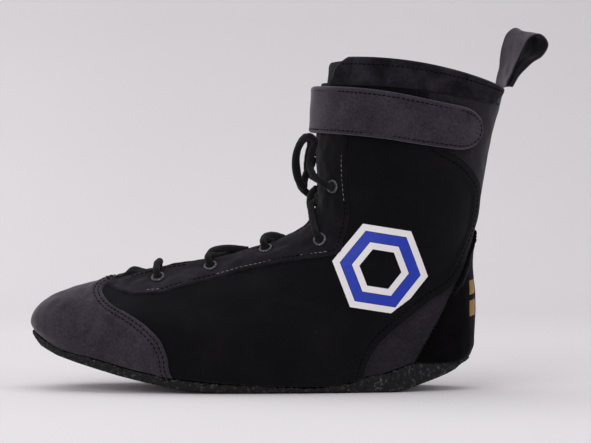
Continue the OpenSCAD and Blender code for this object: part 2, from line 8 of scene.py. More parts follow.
import bpy
import numpy as np
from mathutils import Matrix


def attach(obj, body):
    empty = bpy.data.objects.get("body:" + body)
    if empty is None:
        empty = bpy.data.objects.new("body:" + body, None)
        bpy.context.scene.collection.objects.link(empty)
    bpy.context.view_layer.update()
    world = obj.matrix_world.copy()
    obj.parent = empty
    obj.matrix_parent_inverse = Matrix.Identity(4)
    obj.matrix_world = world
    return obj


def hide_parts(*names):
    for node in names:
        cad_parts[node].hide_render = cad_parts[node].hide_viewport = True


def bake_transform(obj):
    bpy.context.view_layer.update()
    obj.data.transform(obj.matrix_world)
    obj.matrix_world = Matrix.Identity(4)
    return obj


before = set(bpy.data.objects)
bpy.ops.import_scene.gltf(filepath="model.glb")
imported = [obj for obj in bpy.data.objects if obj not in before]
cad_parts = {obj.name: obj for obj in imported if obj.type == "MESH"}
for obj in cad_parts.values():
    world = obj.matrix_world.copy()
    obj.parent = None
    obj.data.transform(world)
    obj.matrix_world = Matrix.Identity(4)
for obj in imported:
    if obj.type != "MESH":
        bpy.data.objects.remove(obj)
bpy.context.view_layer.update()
MM = 0.001

# ---------------------------------------------------------------- the upper's surface
# Rings of the upper: height share t, front point's x and z, back point's x and z.
RINGS = np.array([
    [0.00, -171, 38, 103, 21], [0.04, -173.5, 44, 104.5, 27], [0.08, -171, 51, 105.3, 33],
    [0.13, -162, 58.5, 105.7, 39.5], [0.20, -145, 65, 106, 48], [0.30, -119, 73, 106, 60],
    [0.42, -85, 80, 105.5, 73], [0.54, -50, 87, 105.5, 86], [0.62, -20, 94, 106.5, 95],
    [0.67, -3, 101, 107.5, 102], [0.71, 5, 111, 109, 109], [0.76, 7.5, 127, 111, 120],
    [0.84, 7.5, 150, 115, 143], [0.92, 8, 176, 120, 167], [1.00, 10, 208, 126, 190]])
# Half widths of a ring at 0, 45, 90, 135 and 180 degrees round from the front.
WIDTHS = np.array([
    [0.00, 56, 49, 40, 41, 60], [0.08, 58, 53, 46, 45, 60], [0.16, 55, 52, 46, 45, 58],
    [0.30, 34, 38, 39, 44, 51], [0.54, 22, 26, 34, 40, 42], [0.62, 25, 29, 35, 38, 38],
    [0.67, 31, 34, 35, 36, 36], [0.76, 38, 36, 34, 34, 36], [0.88, 40, 39, 38, 38, 39],
    [1.00, 44, 43, 42, 42, 43]])
# Height of the seam between upper and sole, from toe to heel.
FEATHER = np.array([
    [-174, 38], [-155, 26.5], [-130, 20], [-101, 12.3], [-82, 8.8], [-65, 6.5], [-50, 5],
    [-30, 4], [20, 4], [30, 6], [38, 9], [51, 11.5], [60, 14.5], [67, 17], [82, 17],
    [97, 18], [106, 22]])
# Underside of the sole along its middle.
ROCKER = np.array([
    [-172, 33], [-166, 27], [-155, 22], [-142, 18], [-130, 14.6], [-115, 10.4], [-98, 6.4],
    [-84, 3.6], [-72, 1.4], [-58, 0], [58, 0], [65, 2], [73, 4.8], [81, 7.6], [89, 10.6],
    [95, 13.4], [100, 17.5], [103, 22]])
WAIST_T = 0.76
TOE_IN, TOE_IN_FROM, TOE_IN_RUN = 7, -20, 150
CROWN = 6


def curve(rows, key):
    """Cubic Hermite curve through rows of (key, values), with slopes averaged over uneven steps."""
    k, v = rows[:, 0], rows[:, 1:]
    h = np.diff(k)[:, None]
    secant = np.diff(v, axis=0) / h
    inner = (secant[:-1] * h[1:] + secant[1:] * h[:-1]) / (h[:-1] + h[1:])
    slope = np.concatenate([secant[:1], inner, secant[-1:]])
    key = np.clip(np.asarray(key, float), k[0], k[-1])
    i = np.clip(np.searchsorted(k, key, side="right") - 1, 0, len(k) - 2)
    s, h = ((key - k[i]) / h[i, 0])[..., None], h[i]
    return ((1 + 2 * s) * (1 - s) ** 2 * v[i] + s * (1 - s) ** 2 * h * slope[i]
            + s * s * (3 - 2 * s) * v[i + 1] + s * s * (s - 1) * h * slope[i + 1])


def value(rows, key):
    """The single value of a two-column curve."""
    return curve(np.asarray(rows, float), key)[..., 0]


def half_width(a, t):
    """Half width of ring t at angle a: Catmull-Rom through the five widths, mirrored at both ends."""
    w = curve(WIDTHS, t)
    fold = np.degrees(np.arccos(np.clip(np.cos(np.radians(a)), -1, 1))) / 45
    j = np.clip(np.floor(fold).astype(int), 0, 3)
    s = fold - j
    take = lambda n: np.take_along_axis(w, n[..., None], -1)[..., 0]
    p0, p1, p2 = take(np.where(j == 0, 1, j - 1)), take(j), take(j + 1)
    p3 = take(np.where(j == 3, 3, np.minimum(j + 2, 4)))
    return 0.5 * (2 * p1 + (p2 - p0) * s + (2 * p0 - 5 * p1 + 4 * p2 - p3) * s ** 2
                  + (3 * p1 - p0 - 3 * p2 + p3) * s ** 3)


def skin(a, t):
    """Point of the panels' outer face: x = mix(front, back, (1 - cos a) / 2), y = sin a * half width
    about the toe's turn, z between the ring's ends, sagging to the sole seam at the foot."""
    a, t = np.broadcast_arrays(np.asarray(a, float), np.asarray(t, float))
    r = curve(RINGS, t)
    u = (1 - np.cos(np.radians(a))) / 2
    x = r[..., 0] + (r[..., 2] - r[..., 0]) * u
    foot = RINGS[0]
    x0, z0 = foot[1] + (foot[3] - foot[1]) * u, foot[2] + (foot[4] - foot[2]) * u
    sag = np.clip(1 - t / WAIST_T, 0, 1) ** 1.15
    crown = CROWN * np.clip((t - WAIST_T) / (1 - WAIST_T), 0, 1) ** 2
    sine = np.sin(np.radians(a))
    z = r[..., 1] + (r[..., 3] - r[..., 1]) * u + sag * (value(FEATHER, x0) - z0) + crown * sine ** 2
    turn = TOE_IN * np.clip((TOE_IN_FROM - x) / TOE_IN_RUN, 0, None) ** 2
    return np.stack([x, turn + sine * half_width(a, t), z], -1)


def normal(a, t):
    """Outward unit normal, from short steps of a and t."""
    a, t = np.broadcast_arrays(np.asarray(a, float), np.asarray(t, float))
    da = skin(a + 0.4, t) - skin(a - 0.4, t)
    dt = skin(a, np.minimum(t + 0.003, 1)) - skin(a, np.maximum(t - 0.003, 0))
    n = np.cross(dt, da)
    return n / np.linalg.norm(n, axis=-1, keepdims=True)


def waves(p, length, seed, count=14):
    """Smooth random field, about -1 to 1: a sum of sine waves of one length in random directions."""
    rng = np.random.default_rng(seed)
    d = rng.normal(size=(count, 3))
    d *= (2 * np.pi / length) * rng.uniform(0.7, 1.3, (count, 1)) / np.linalg.norm(d, axis=1, keepdims=True)
    return np.sin(p @ d.T + rng.uniform(0, 2 * np.pi, count)).sum(-1) / math.sqrt(count / 2) / 1.6


def swell(p):
    """Slow unevenness of a soft boot, in mm along the normal: broad swells and small dimples."""
    return 0.55 * waves(p, 62, 3) + 0.16 * waves(p, 19, 5)


def ease(x):
    """Smooth step from 0 to 1."""
    x = np.clip(x, 0, 1)
    return x * x * (3 - 2 * x)


def drape(p, t):
    """The swell at a point, fading out at the sole seam."""
    return swell(p) * ease(np.asarray(t) / 0.06)


def place(a, t, depth):
    """A point at that depth over the panels, carried by the same swell as they are."""
    a, t = np.broadcast_arrays(np.asarray(a, float), np.asarray(t, float))
    p, n = skin(a, t), normal(a, t)
    return p + (np.asarray(depth) + drape(p, t))[..., None] * n


def settle(target, a, t, weight=(1.0, 1.0, 1.0)):
    """Angle and t of the skin point nearest each target, by Gauss-Newton steps on weighted distance."""
    w = np.sqrt(np.array(weight))
    a, t = a + 0 * target[..., 0], t + 0 * target[..., 0]
    for _ in range(8):
        p = skin(a, t)
        da = (skin(a + 0.5, t) - p) / 0.5 * w
        low = np.maximum(t - 0.003, 0)
        dt = (skin(a, t + 0.003) - skin(a, low)) / (t + 0.003 - low)[..., None] * w
        r = (target - p) * w
        aa, ab, bb = (da * da).sum(-1), (da * dt).sum(-1), (dt * dt).sum(-1)
        ra, rb = (da * r).sum(-1), (dt * r).sum(-1)
        det = aa * bb - ab * ab
        a = a + (ra * bb - rb * ab) / det
        t = np.clip(t + (aa * rb - ab * ra) / det, 0.001, 1.0)
    return a, t


def border(points, n=300):
    """Angles and t evenly spaced along a polyline of [angle, t] points on the skin."""
    q = np.asarray(points, float)
    s = np.linspace(0, len(q) - 1, 8 * n)
    a, t = np.interp(s, np.arange(len(q)), q[:, 0]), np.interp(s, np.arange(len(q)), q[:, 1])
    run = np.concatenate([[0], np.cumsum(np.linalg.norm(np.diff(skin(a, t), axis=0), axis=1))])
    at = np.linspace(0, run[-1], n)
    return np.interp(at, run, a), np.interp(at, run, t)


def inset(line, mm, depth):
    """The line of [angle, t] moved mm sideways over the skin, at that depth. Seen from outside, it
    moves to the left of the line's own direction."""
    a, t = line
    p, n = skin(a, t), normal(a, t)
    tan = np.gradient(p, axis=0)
    tan /= np.linalg.norm(tan, axis=1, keepdims=True)
    a, t = settle(p + mm * np.cross(n, tan), a, t)
    return place(a, t, depth)


def far_from(p, line):
    """Distance in mm from each point to the nearest point of a line."""
    q = p.reshape(-1, 3)
    out = np.empty(len(q))
    for i in range(0, len(q), 4000):
        d = q[i:i + 4000, None] - line[None]
        out[i:i + 4000] = np.sqrt((d * d).sum(-1).min(1))
    return out.reshape(p.shape[:-1])


# ---------------------------------------------------------------- meshes
def make_mesh(name, verts, faces, uv=None, sharp=40):
    """A mesh object from points in mm and faces, shaded smooth but for edges sharper than `sharp`."""
    mesh = bpy.data.meshes.new(name)
    mesh.from_pydata((np.asarray(verts) * MM).tolist(), [], [tuple(f) for f in np.asarray(faces).tolist()]
                     if not isinstance(faces, list) else faces)
    mesh.shade_smooth()
    mesh.set_sharp_from_angle(angle=math.radians(sharp))
    if uv is not None:
        layer = mesh.uv_layers.new(name="cloth")
        index = np.zeros(len(mesh.loops), np.int32)
        mesh.loops.foreach_get("vertex_index", index)
        layer.data.foreach_set("uv", np.asarray(uv, np.float32)[index].ravel())
    piece = bpy.data.objects.new(name, mesh)
    bpy.context.scene.collection.objects.link(piece)
    return piece


def sheet_faces(m, n):
    """Quads of a closed sheet of m rows by n columns: outer face, inner face and the four rims."""
    k = m * n
    q = np.arange(k).reshape(m, n)
    a, b, c, d = q[:-1, :-1].ravel(), q[1:, :-1].ravel(), q[1:, 1:].ravel(), q[:-1, 1:].ravel()
    parts = [np.stack([a, b, c, d], 1), np.stack([a, d, c, b], 1) + k]
    for line, flip in ((q[:, 0], 0), (q[:, -1], 1), (q[0], 1), (q[-1], 0)):
        e, f = line[:-1], line[1:]
        rim = np.stack([e, e + k, f + k, f], 1)
        parts.append(rim[:, ::-1] if flip else rim)
    return np.concatenate(parts)


def steps(length, cells, lip):
    """Shares 0 to 1 along a length, even but for two fine cells at each end that carry a rounded lip."""
    e = np.clip(lip / np.maximum(length, 1e-6), 0, 0.06)[..., None]
    inner = np.linspace(0, 1, cells - 1)
    body = 2.2 * e + (1 - 4.4 * e) * inner
    zero = np.zeros_like(e)
    return np.concatenate([zero, e, body, 1 - e, zero + 1], -1)


LIP = np.array([0.0, 0.72])


def lip_of(count):
    """Fullness along a row of `count` points: nothing at the two ends, full from the third point."""
    f = np.ones(count)
    f[:2], f[-2:] = LIP, LIP[::-1]
    return f


def shell(name, a, t, outer, inner, relief=None, both=False, sharp=40):
    """A closed sheet over a grid of angles and t, its outer face rolled down at the rims (and its inner
    face too, if both). outer, inner and relief are depths in mm, or functions of (a, t, p)."""
    full = np.minimum(lip_of(a.shape[0])[:, None], lip_of(a.shape[1])[None, :])
    p, n = skin(a, t), normal(a, t)
    top, under = (d(a, t, p) if callable(d) else d + 0 * a for d in (outer, inner))
    extra = drape(p, t) + (relief(a, t, p) if relief else 0)
    rim = 0.12 if both else 0.3
    fill = rim + (1 - rim) * full
    up = under + (top - under) * ((0.5 + 0.5 * fill) if both else fill)
    down = under + ((top - under) * 0.5 * (1 - fill) if both else 0 * under)
    verts = np.concatenate([(p + (d + extra)[..., None] * n).reshape(-1, 3) for d in (up, down)])
    run = np.concatenate([[0], np.cumsum(np.linalg.norm(np.diff(p[:, a.shape[1] // 2], axis=0), axis=1))])
    across = np.concatenate([np.zeros((len(a), 1)), np.cumsum(
        np.linalg.norm(np.diff(p, axis=1), axis=2), axis=1)], 1)
    uv = np.stack([across, run[:, None] + 0 * across], -1).reshape(-1, 2) * MM
    return make_mesh(name, verts, sheet_faces(*a.shape), np.concatenate([uv, uv]), sharp)


def grid(low, high, rows, start, stop, cols, lip=0.55):
    """Angles and t of a panel between rings low and high and from angle start(t) to stop(t)."""
    mid = np.linspace(low, high, 40)
    reach = np.linalg.norm(np.diff(skin((start(mid) + stop(mid)) / 2, mid), axis=0), axis=1).sum()
    t = low + (high - low) * steps(np.float64(reach), rows, lip)
    lo, hi = start(t), stop(t)
    probe = lo[:, None] + (hi - lo)[:, None] * np.linspace(0, 1, 24)
    width = np.linalg.norm(np.diff(skin(probe, t[:, None] + 0 * probe), axis=1), axis=2).sum(1)
    a = lo[:, None] + (hi - lo)[:, None] * steps(width, cols, lip)
    return a, np.repeat(t[:, None], a.shape[1], 1)


def side_grid(side, low, high, rows, near, far, cols, lip=0.55):
    """The same on the outer side (side -1) or the inner side (side 1), from near(t) to far(t)."""
    if side < 0:
        return grid(low, high, rows, lambda t: -far(t), lambda t: -near(t), cols, lip)
    return grid(low, high, rows, near, far, cols, lip)


def resample(path, pitch):
    """Points evenly `pitch` apart along a polyline."""
    along = np.concatenate([[0], np.cumsum(np.linalg.norm(np.diff(path, axis=0), axis=1))])
    at = np.arange(0, along[-1], pitch)
    return np.stack([np.interp(at, along, path[:, k]) for k in range(3)], 1)


def smooth_line(points, per):
    """Catmull-Rom curve through points, with `per` steps between neighbours."""
    p = np.asarray(points, float)
    p = np.concatenate([2 * p[:1] - p[1:2], p, 2 * p[-1:] - p[-2:-1]])
    s = np.linspace(0, 1, per, endpoint=False)[:, None]
    out = [0.5 * (2 * p[i] + (p[i + 1] - p[i - 1]) * s
                  + (2 * p[i - 1] - 5 * p[i] + 4 * p[i + 1] - p[i + 2]) * s ** 2
                  + (3 * p[i] - p[i - 1] - 3 * p[i + 1] + p[i + 2]) * s ** 3) for i in range(1, len(p) - 2)]
    return np.concatenate(out + [p[-2:-1]])


def frames(path):
    """Tangent, side and up at each point of a path, the side carried along without twisting."""
    tan = np.gradient(path, axis=0)
    tan /= np.linalg.norm(tan, axis=1, keepdims=True)
    side = np.cross(tan[0], [0.31, 0.2, 0.93])
    sides = []
    for d in tan:
        side = side - (side @ d) * d
        side = side / np.linalg.norm(side)
        sides.append(side)
    sides = np.array(sides)
    return tan, sides, np.cross(tan, sides)


def capsules(path, pitch, length, radius):
    """Stitches: small six-sided spindles along a path, every pitch mm. Returns points and faces."""
    at = resample(path, pitch)
    if len(at) < 2:
        return np.zeros((0, 3)), np.zeros((0, 4), int)
    tan, side, up = frames(at)
    ring = np.linspace(0, 2 * np.pi, 6, endpoint=False)
    z = np.array([-0.5, -0.36, 0, 0.36, 0.5]) * length
    r = (np.array([0.25, 0.8, 1.0, 0.8, 0.25]) * radius)[:, None]
    local = np.stack(np.broadcast_arrays(z[:, None], r * np.cos(ring), r * np.sin(ring)), -1).reshape(-1, 3)
    along, across, out = (local[:, k:k + 1] for k in range(3))
    verts = at[:, None] + along * tan[:, None] + across * side[:, None] + out * up[:, None]
    i, j = np.meshgrid(np.arange(4), np.arange(6), indexing="ij")
    k = (j + 1) % 6
    quad = np.stack([i * 6 + j, i * 6 + k, (i + 1) * 6 + k, (i + 1) * 6 + j], -1).reshape(-1, 4)
    caps = np.array([[0, 5, 4, 3], [0, 3, 2, 1], [24, 25, 26, 27], [24, 27, 28, 29]])
    faces = np.concatenate([quad, caps])
    return verts.reshape(-1, 3), (faces[None] + 30 * np.arange(len(at))[:, None, None]).reshape(-1, 4)


def join(parts):
    """Several (points, faces) as one."""
    base = np.cumsum([0] + [len(v) for v, _ in parts])
    return np.concatenate([v for v, _ in parts]), np.concatenate([f + k for (_, f), k in zip(parts, base)])


def join_tubes(tubes):
    """Several tubes as one: points, faces and UVs."""
    base = np.cumsum([0] + [len(v) for v, _, _ in tubes]).tolist()
    faces = [tuple(i + k for i in face) for (_, f, _), k in zip(tubes, base) for face in f]
    return np.concatenate([v for v, _, _ in tubes]), faces, np.concatenate([uv for _, _, uv in tubes])


def tube(path, radius, sides=14, braid=0.0, cell=3.0):
    """A tube swept along a path, its surface raised in a braid of crossing diagonals.
    Returns points, faces and UVs (round, along)."""
    tan, side, up = frames(path)
    run = np.concatenate([[0], np.cumsum(np.linalg.norm(np.diff(path, axis=0), axis=1))])
    c = np.linspace(0, 2 * np.pi, sides, endpoint=False)
    lift = 1 + braid * np.maximum(np.sin(3 * c[None] + run[:, None] * 2 * np.pi / cell),
                                  np.sin(3 * c[None] - run[:, None] * 2 * np.pi / cell))
    r = radius * lift
    verts = (path[:, None] + (r * np.cos(c))[..., None] * side[:, None]
             + (r * np.sin(c))[..., None] * up[:, None]).reshape(-1, 3)
    q = np.arange(len(path) * sides).reshape(len(path), sides)
    n = np.roll(q, -1, axis=1)
    faces = np.stack([q[:-1], n[:-1], n[1:], q[1:]], -1).reshape(-1, 4)
    ends = [tuple(q[0][::-1].tolist()), tuple(q[-1].tolist())]
    uv = np.stack(np.broadcast_arrays(c[None] / (2 * np.pi), run[:, None] * MM / 0.02), -1).reshape(-1, 2)
    return verts, [tuple(f) for f in faces.tolist()] + ends, uv


# ---------------------------------------------------------------- materials
def tone(*rgb):
    """Linear colour from 0-255 screen values."""
    c = [x / 255 for x in rgb]
    return tuple(x / 12.92 if x <= 0.04045 else ((x + 0.055) / 1.055) ** 2.4 for x in c) + (1.0,)


class Finish:
    """A material under construction: a Principled shader and short calls for the nodes that feed it."""

    def __init__(self, name, **sockets):
        self.mat = bpy.data.materials.new(name)
        self.mat.use_nodes = True
        self.nodes, self.links = self.mat.node_tree.nodes, self.mat.node_tree.links
        self.shader = self.nodes["Principled BSDF"]
        for key, val in sockets.items():
            self.shader.inputs[key.replace("_", " ")].default_value = val

    def node(self, kind, inputs=(), **props):
        n = self.nodes.new(kind)
        for key, val in props.items():
            setattr(n, key, val)
        for key, val in dict(inputs).items():
            if isinstance(val, bpy.types.NodeSocket):
                self.links.new(val, n.inputs[key])
            else:
                n.inputs[key].default_value = val
        return n

    def where(self, scale=(1, 1, 1), turn=(0, 0, 0), uv=False):
        c = self.node("ShaderNodeTexCoord").outputs["UV" if uv else "Object"]
        return self.node("ShaderNodeMapping", {"Vector": c, "Scale": scale, "Rotation": turn}).outputs[0]

    def noise(self, scale, detail=4, rough=0.55, at=None, warp=0.0):
        return self.node("ShaderNodeTexNoise", {
            "Vector": at or self.where(), "Scale": scale, "Detail": detail,
            "Roughness": rough, "Distortion": warp}).outputs["Fac"]

    def ramp(self, fac, *stops):
        n = self.node("ShaderNodeValToRGB", {"Fac": fac})
        els = n.color_ramp.elements
        while len(els) < len(stops):
            els.new(0.5)
        for el, (pos, col) in zip(els, stops):
            el.position = pos
            el.color = col if len(col) == 4 else (*col, 1)
        return n.outputs["Color"]

    def mix(self, fac, a, b, how="MIX"):
        return self.node("ShaderNodeMix", {0: fac, 6: a, 7: b}, data_type="RGBA", blend_type=how).outputs[2]

    def math(self, how, a, b=0.5):
        return self.node("ShaderNodeMath", {0: a, 1: b}, operation=how).outputs[0]

    def height(self):
        return self.node("ShaderNodeSeparateXYZ", {"Vector": self.where()}).outputs[2]

    def bump(self, height, distance, strength=1.0, under=None):
        n = self.node("ShaderNodeBump", {"Height": height, "Distance": distance, "Strength": strength})
        if under is not None:
            self.links.new(under, n.inputs["Normal"])
        return n.outputs[0]

    def done(self, color=None, rough=None, normal_in=None):
        for socket, link in (("Base Color", color), ("Roughness", rough), ("Normal", normal_in)):
            if link is not None:
                self.links.new(link, self.shader.inputs[socket])
        return self.mat


def grey(v):
    return (v, v, v, 1)


def specks(f, scale, size, share):
    """Rare small dots: near a cell's middle, in the few cells whose random value is high."""
    cell = f.node("ShaderNodeTexVoronoi", {"Vector": f.where(), "Scale": scale})
    near = f.math("LESS_THAN", cell.outputs["Distance"], size)
    chance = f.node("ShaderNodeSeparateColor", {"Color": cell.outputs["Color"]}).outputs[0]
    few = f.math("GREATER_THAN", chance, 1 - share)
    return f.math("MULTIPLY", near, few)


def suede(name, dark, mid, light, nap=620, mottle=45, sheen=0.5, lint=0.0, painted_height_shade=None):
    """Short nap: fine fibre noise over soft patches where the nap lies another way, with a dusty sheen.
    The last argument is (z low, z high, share): painted shade, the colour falls to that share between those
    heights in metres, so the suede is darker higher up."""
    f = Finish(name, Roughness=0.93, Sheen_Weight=sheen, Sheen_Roughness=0.45,
               Sheen_Tint=(0.8, 0.76, 0.84, 1), Specular_IOR_Level=0.1)
    patch = f.ramp(f.noise(mottle, 5, 0.6, warp=0.6), (0.30, dark), (0.52, mid), (0.74, light))
    fibre = f.noise(nap, 6, 0.72)
    grain = f.ramp(fibre, (0.28, grey(0.25)), (0.5, grey(0.5)), (0.72, grey(0.85)))
    color = f.mix(0.9, patch, grain, "OVERLAY")
    # Painted shade: the colour is multiplied down with height.
    if painted_height_shade:
        low, high, share = painted_height_shade
        shade = f.ramp(f.math("MULTIPLY", f.height(), 4), (4 * low, grey(1)), (4 * high, grey(share)))
        color = f.mix(1.0, color, shade, "MULTIPLY")
    if lint:
        color = f.mix(f.math("MULTIPLY", specks(f, 160, 0.05, lint), 0.55), color, tone(150, 145, 150))
    rolls = f.bump(f.noise(90, 3, 0.5), 0.0005, 0.35)
    return f.done(color, normal_in=f.bump(fibre, 0.00022, 0.9, rolls))


def velvet(name, dark, light, sheen=0.35, lint=0.02):
    """Black pile: almost no light straight on, a soft edge glow, and a little lint."""
    f = Finish(name, Roughness=1.0, Sheen_Weight=sheen, Sheen_Roughness=0.35,
               Sheen_Tint=(0.62, 0.58, 0.66, 1), Specular_IOR_Level=0.05)
    pile = f.noise(900, 5, 0.7)
    color = f.mix(0.6, f.ramp(f.noise(70, 5, 0.6, warp=0.4), (0.35, dark), (0.7, light)),
                  f.ramp(pile, (0.3, grey(0.3)), (0.7, grey(0.75))), "OVERLAY")
    color = f.mix(f.math("MULTIPLY", specks(f, 190, 0.06, lint), 0.6), color, tone(130, 125, 130))
    return f.done(color, normal_in=f.bump(pile, 0.00025, 0.8, f.bump(f.noise(120, 2), 0.0006, 0.3)))


def woven(name, dark, light, pitch=0.0009, turn=0.0, sheen=0.2):
    """Plain weave from two crossed sine bands, over slow colour variation."""
    f = Finish(name, Roughness=0.9, Sheen_Weight=sheen, Sheen_Roughness=0.5, Specular_IOR_Level=0.15)
    at = f.where(turn=(0, 0, turn), uv=True)
    wave = {"Vector": at, "Scale": 1 / pitch / 20 * 6.283, "Distortion": 0.4, "Detail": 1.0}
    bands = [f.node("ShaderNodeTexWave", wave, bands_direction=d).outputs["Fac"] for d in ("X", "Y")]
    weave = f.math("MULTIPLY", bands[0], bands[1])
    color = f.mix(f.math("MULTIPLY", weave, 0.8), dark, light)
    color = f.mix(0.4, color, f.ramp(f.noise(60, 4), (0.3, grey(0.35)), (0.7, grey(0.65))), "OVERLAY")
    return f.done(color, normal_in=f.bump(weave, 0.00018, 0.8, f.bump(f.noise(150, 3), 0.0004, 0.3)))


def lace_finish():
    """Braided cotton: crossing yarns by the tube's own UVs, brownish black with lighter crowns."""
    f = Finish("braided_lace", Roughness=0.9, Sheen_Weight=0.08, Sheen_Roughness=0.5, Specular_IOR_Level=0.1)
    waves_ = []
    for turn in (0.9, -0.9):
        at = f.where(scale=(6, 26, 1), turn=(0, 0, turn), uv=True)
        wave = {"Vector": at, "Scale": 0.9, "Distortion": 0.5}
        waves_.append(f.node("ShaderNodeTexWave", wave).outputs["Fac"])
    yarn = f.math("MAXIMUM", *waves_)
    color = f.mix(yarn, tone(4, 3, 4), tone(21, 18, 21))
    color = f.mix(0.4, color, f.ramp(f.noise(800, 4), (0.3, grey(0.3)), (0.7, grey(0.7))), "OVERLAY")
    return f.done(color, normal_in=f.bump(yarn, 0.00025, 0.7, f.bump(f.noise(1500, 3), 0.0001, 0.5)))


def sole_finish(name, dark, light, rough=0.85):
    """Black crepe rubber with a coarse torn edge and pale scuffs."""
    f = Finish(name, Roughness=rough, Specular_IOR_Level=0.3)
    grit = f.noise(420, 6, 0.7)
    color = f.ramp(grit, (0.40, dark), (0.55, dark), (0.66, light))
    color = f.mix(f.math("MULTIPLY", specks(f, 260, 0.16, 0.06), 0.5), color, tone(170, 170, 170))
    return f.done(color, normal_in=f.bump(grit, 0.0006, 0.9, f.bump(f.noise(60, 2), 0.0008, 0.3)))


def eyelet_finish():
    """Black lacquered metal, worn to grey on the rim."""
    f = Finish("eyelet_lacquer", Metallic=0.85, Roughness=0.42)
    worn = f.noise(900, 5, 0.7)
    color = f.ramp(worn, (0.42, tone(58, 58, 62)), (0.58, tone(92, 92, 96)), (0.72, tone(150, 150, 152)))
    return f.done(color, rough=f.ramp(f.noise(300, 3), (0.3, grey(0.3)), (0.7, grey(0.55))),
                  normal_in=f.bump(worn, 0.00008, 0.6))


def print_finish(name, color, under, gloss=0.5):
    """Heat-pressed film: an even colour with the nap telegraphing through and tiny worn spots."""
    f = Finish(name, Roughness=gloss, Specular_IOR_Level=0.35)
    c = f.mix(f.math("MULTIPLY", specks(f, 420, 0.12, 0.03), 0.5), f.mix(0.3, color, f.ramp(
        f.noise(260, 5, 0.65), (0.3, grey(0.42)), (0.7, grey(0.58))), "OVERLAY"), under)
    return f.done(c, normal_in=f.bump(f.noise(620, 5, 0.7), 0.00012, 0.6))


def plain_finish(name, color, rough=0.6, **sockets):
    """Thread, plastic and board: one colour broken up by fine and slow noise."""
    f = Finish(name, Roughness=rough, **sockets)
    c = f.mix(0.45, color, f.ramp(f.noise(500, 4, 0.6), (0.3, grey(0.35)), (0.7, grey(0.65))), "OVERLAY")
    return f.done(c, normal_in=f.bump(f.noise(1200, 3), 0.0001, 0.5))


GREY_SUEDE = suede("grey_suede_nap", tone(39, 34, 41), tone(49, 43, 51), tone(59, 52, 61), sheen=0.35)
# The back panel's suede is a darker copy of the grey suede: painted shade, with more painted shade up the
# heel.
SHADED_BACK_SUEDE = suede("back_suede_painted_shade", tone(25, 22, 27), tone(32, 28, 34), tone(39, 34, 42), sheen=0.3,
                   painted_height_shade=(0.09, 0.14, 0.95))
STRAP_SUEDE = suede("strap_suede_nap", tone(38, 33, 41), tone(47, 41, 50), tone(57, 50, 61), nap=700,
                    sheen=0.4)
BLACK_SUEDE = suede("black_suede_nap", tone(4, 4, 6), tone(8, 7, 11), tone(15, 13, 17), nap=760, mottle=28,
                    sheen=0.16, lint=0.012)
# The facing is painted darker higher up: painted shade.
FACING_SUEDE = suede("facing_suede_nap", tone(18, 16, 21), tone(28, 25, 31), tone(41, 38, 44), nap=700,
                     mottle=60, sheen=0.22, lint=0.01, painted_height_shade=(0.062, 0.115, 0.22))
COLLAR_VELVET = velvet("collar_velvet", tone(20, 18, 21), tone(42, 39, 46), sheen=0.3, lint=0.01)
COUNTER_VELVET = velvet("counter_velvet", tone(4, 3, 4), tone(11, 9, 11), sheen=0.2, lint=0.03)
LOOP_WEB = suede("loop_web_nap", tone(54, 47, 56), tone(66, 59, 68), tone(79, 71, 81), nap=900, sheen=0.4)
LOOP_LINING = suede("loop_lining_nap", tone(9, 9, 11), tone(17, 14, 18), tone(23, 21, 26), nap=900, sheen=0.2)
KNIT_LINING = woven("knit_lining", tone(24, 22, 27), tone(44, 41, 48))
TONGUE_CLOTH = woven("tongue_cloth", tone(6, 6, 7), tone(18, 16, 19), pitch=0.0012, sheen=0.05)
LACE = lace_finish()
SOLE = sole_finish("sole_crepe", tone(16, 15, 17), tone(60, 58, 62))
SOLE_EDGE = sole_finish("sole_cut_edge", tone(14, 13, 15), tone(84, 82, 86), rough=0.75)
EYELET = eyelet_finish()
# A near-black finish for the discs in the eyelet holes: painted shade.
HOLE_SHADE = plain_finish("eyelet_hole_painted_shade", tone(6, 6, 7), 0.9)
WHITE_FILM = print_finish("white_film", tone(228, 224, 226), tone(120, 118, 122))
BLUE_FILM = print_finish("blue_film", tone(22, 50, 168), tone(14, 26, 76))
GOLD_PRINT = print_finish("gold_print", tone(146, 106, 52), tone(40, 30, 20), 0.4)
DARK_THREAD = plain_finish("dark_thread", tone(7, 6, 8), 0.95, Specular_IOR_Level=0.05)
BLACK_THREAD = plain_finish("black_thread", tone(5, 5, 6), 0.95, Specular_IOR_Level=0.05)
PALE_THREAD = plain_finish("pale_thread", tone(128, 122, 128), 0.7)
AGLET = plain_finish("aglet_plastic", tone(14, 13, 16), 0.25, Coat_Weight=0.5)
BOARD = plain_finish("insole_board", tone(120, 104, 86), 0.9)
TAPE = woven("hook_and_loop_tape", tone(14, 14, 16), tone(40, 39, 43), pitch=0.0011)


def finish_piece(piece, mat, body, slot_name, *nodes):
    """Gives a piece its material and its body, and hides the CAD nodes that it stands for. slot_name is not
    used.
    """
    piece.data.materials.clear()
    piece.data.materials.append(mat)
    if body:
        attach(piece, body)
    if nodes:
        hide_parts(*nodes)
    return piece


# ---------------------------------------------------------------- camera, light and stage
def camera():
    """The camera stands level with the instep, square to the outer side."""
    data = bpy.data.cameras.new("camera")
    cam = bpy.data.objects.new("camera", data)
    bpy.context.scene.collection.objects.link(cam)
    distance, rise = 1.6, math.radians(1.5)
    aim = np.array([-0.0055, 0, 0.1055])
    cam.location = aim + distance * np.array([0, -math.cos(rise), math.sin(rise)])
    cam.rotation_euler = (math.pi / 2 - rise, 0, 0)
    data.sensor_width = 36
    seen_width = 0.3733
    data.lens = data.sensor_width * distance / seen_width
    bpy.context.scene.camera = cam


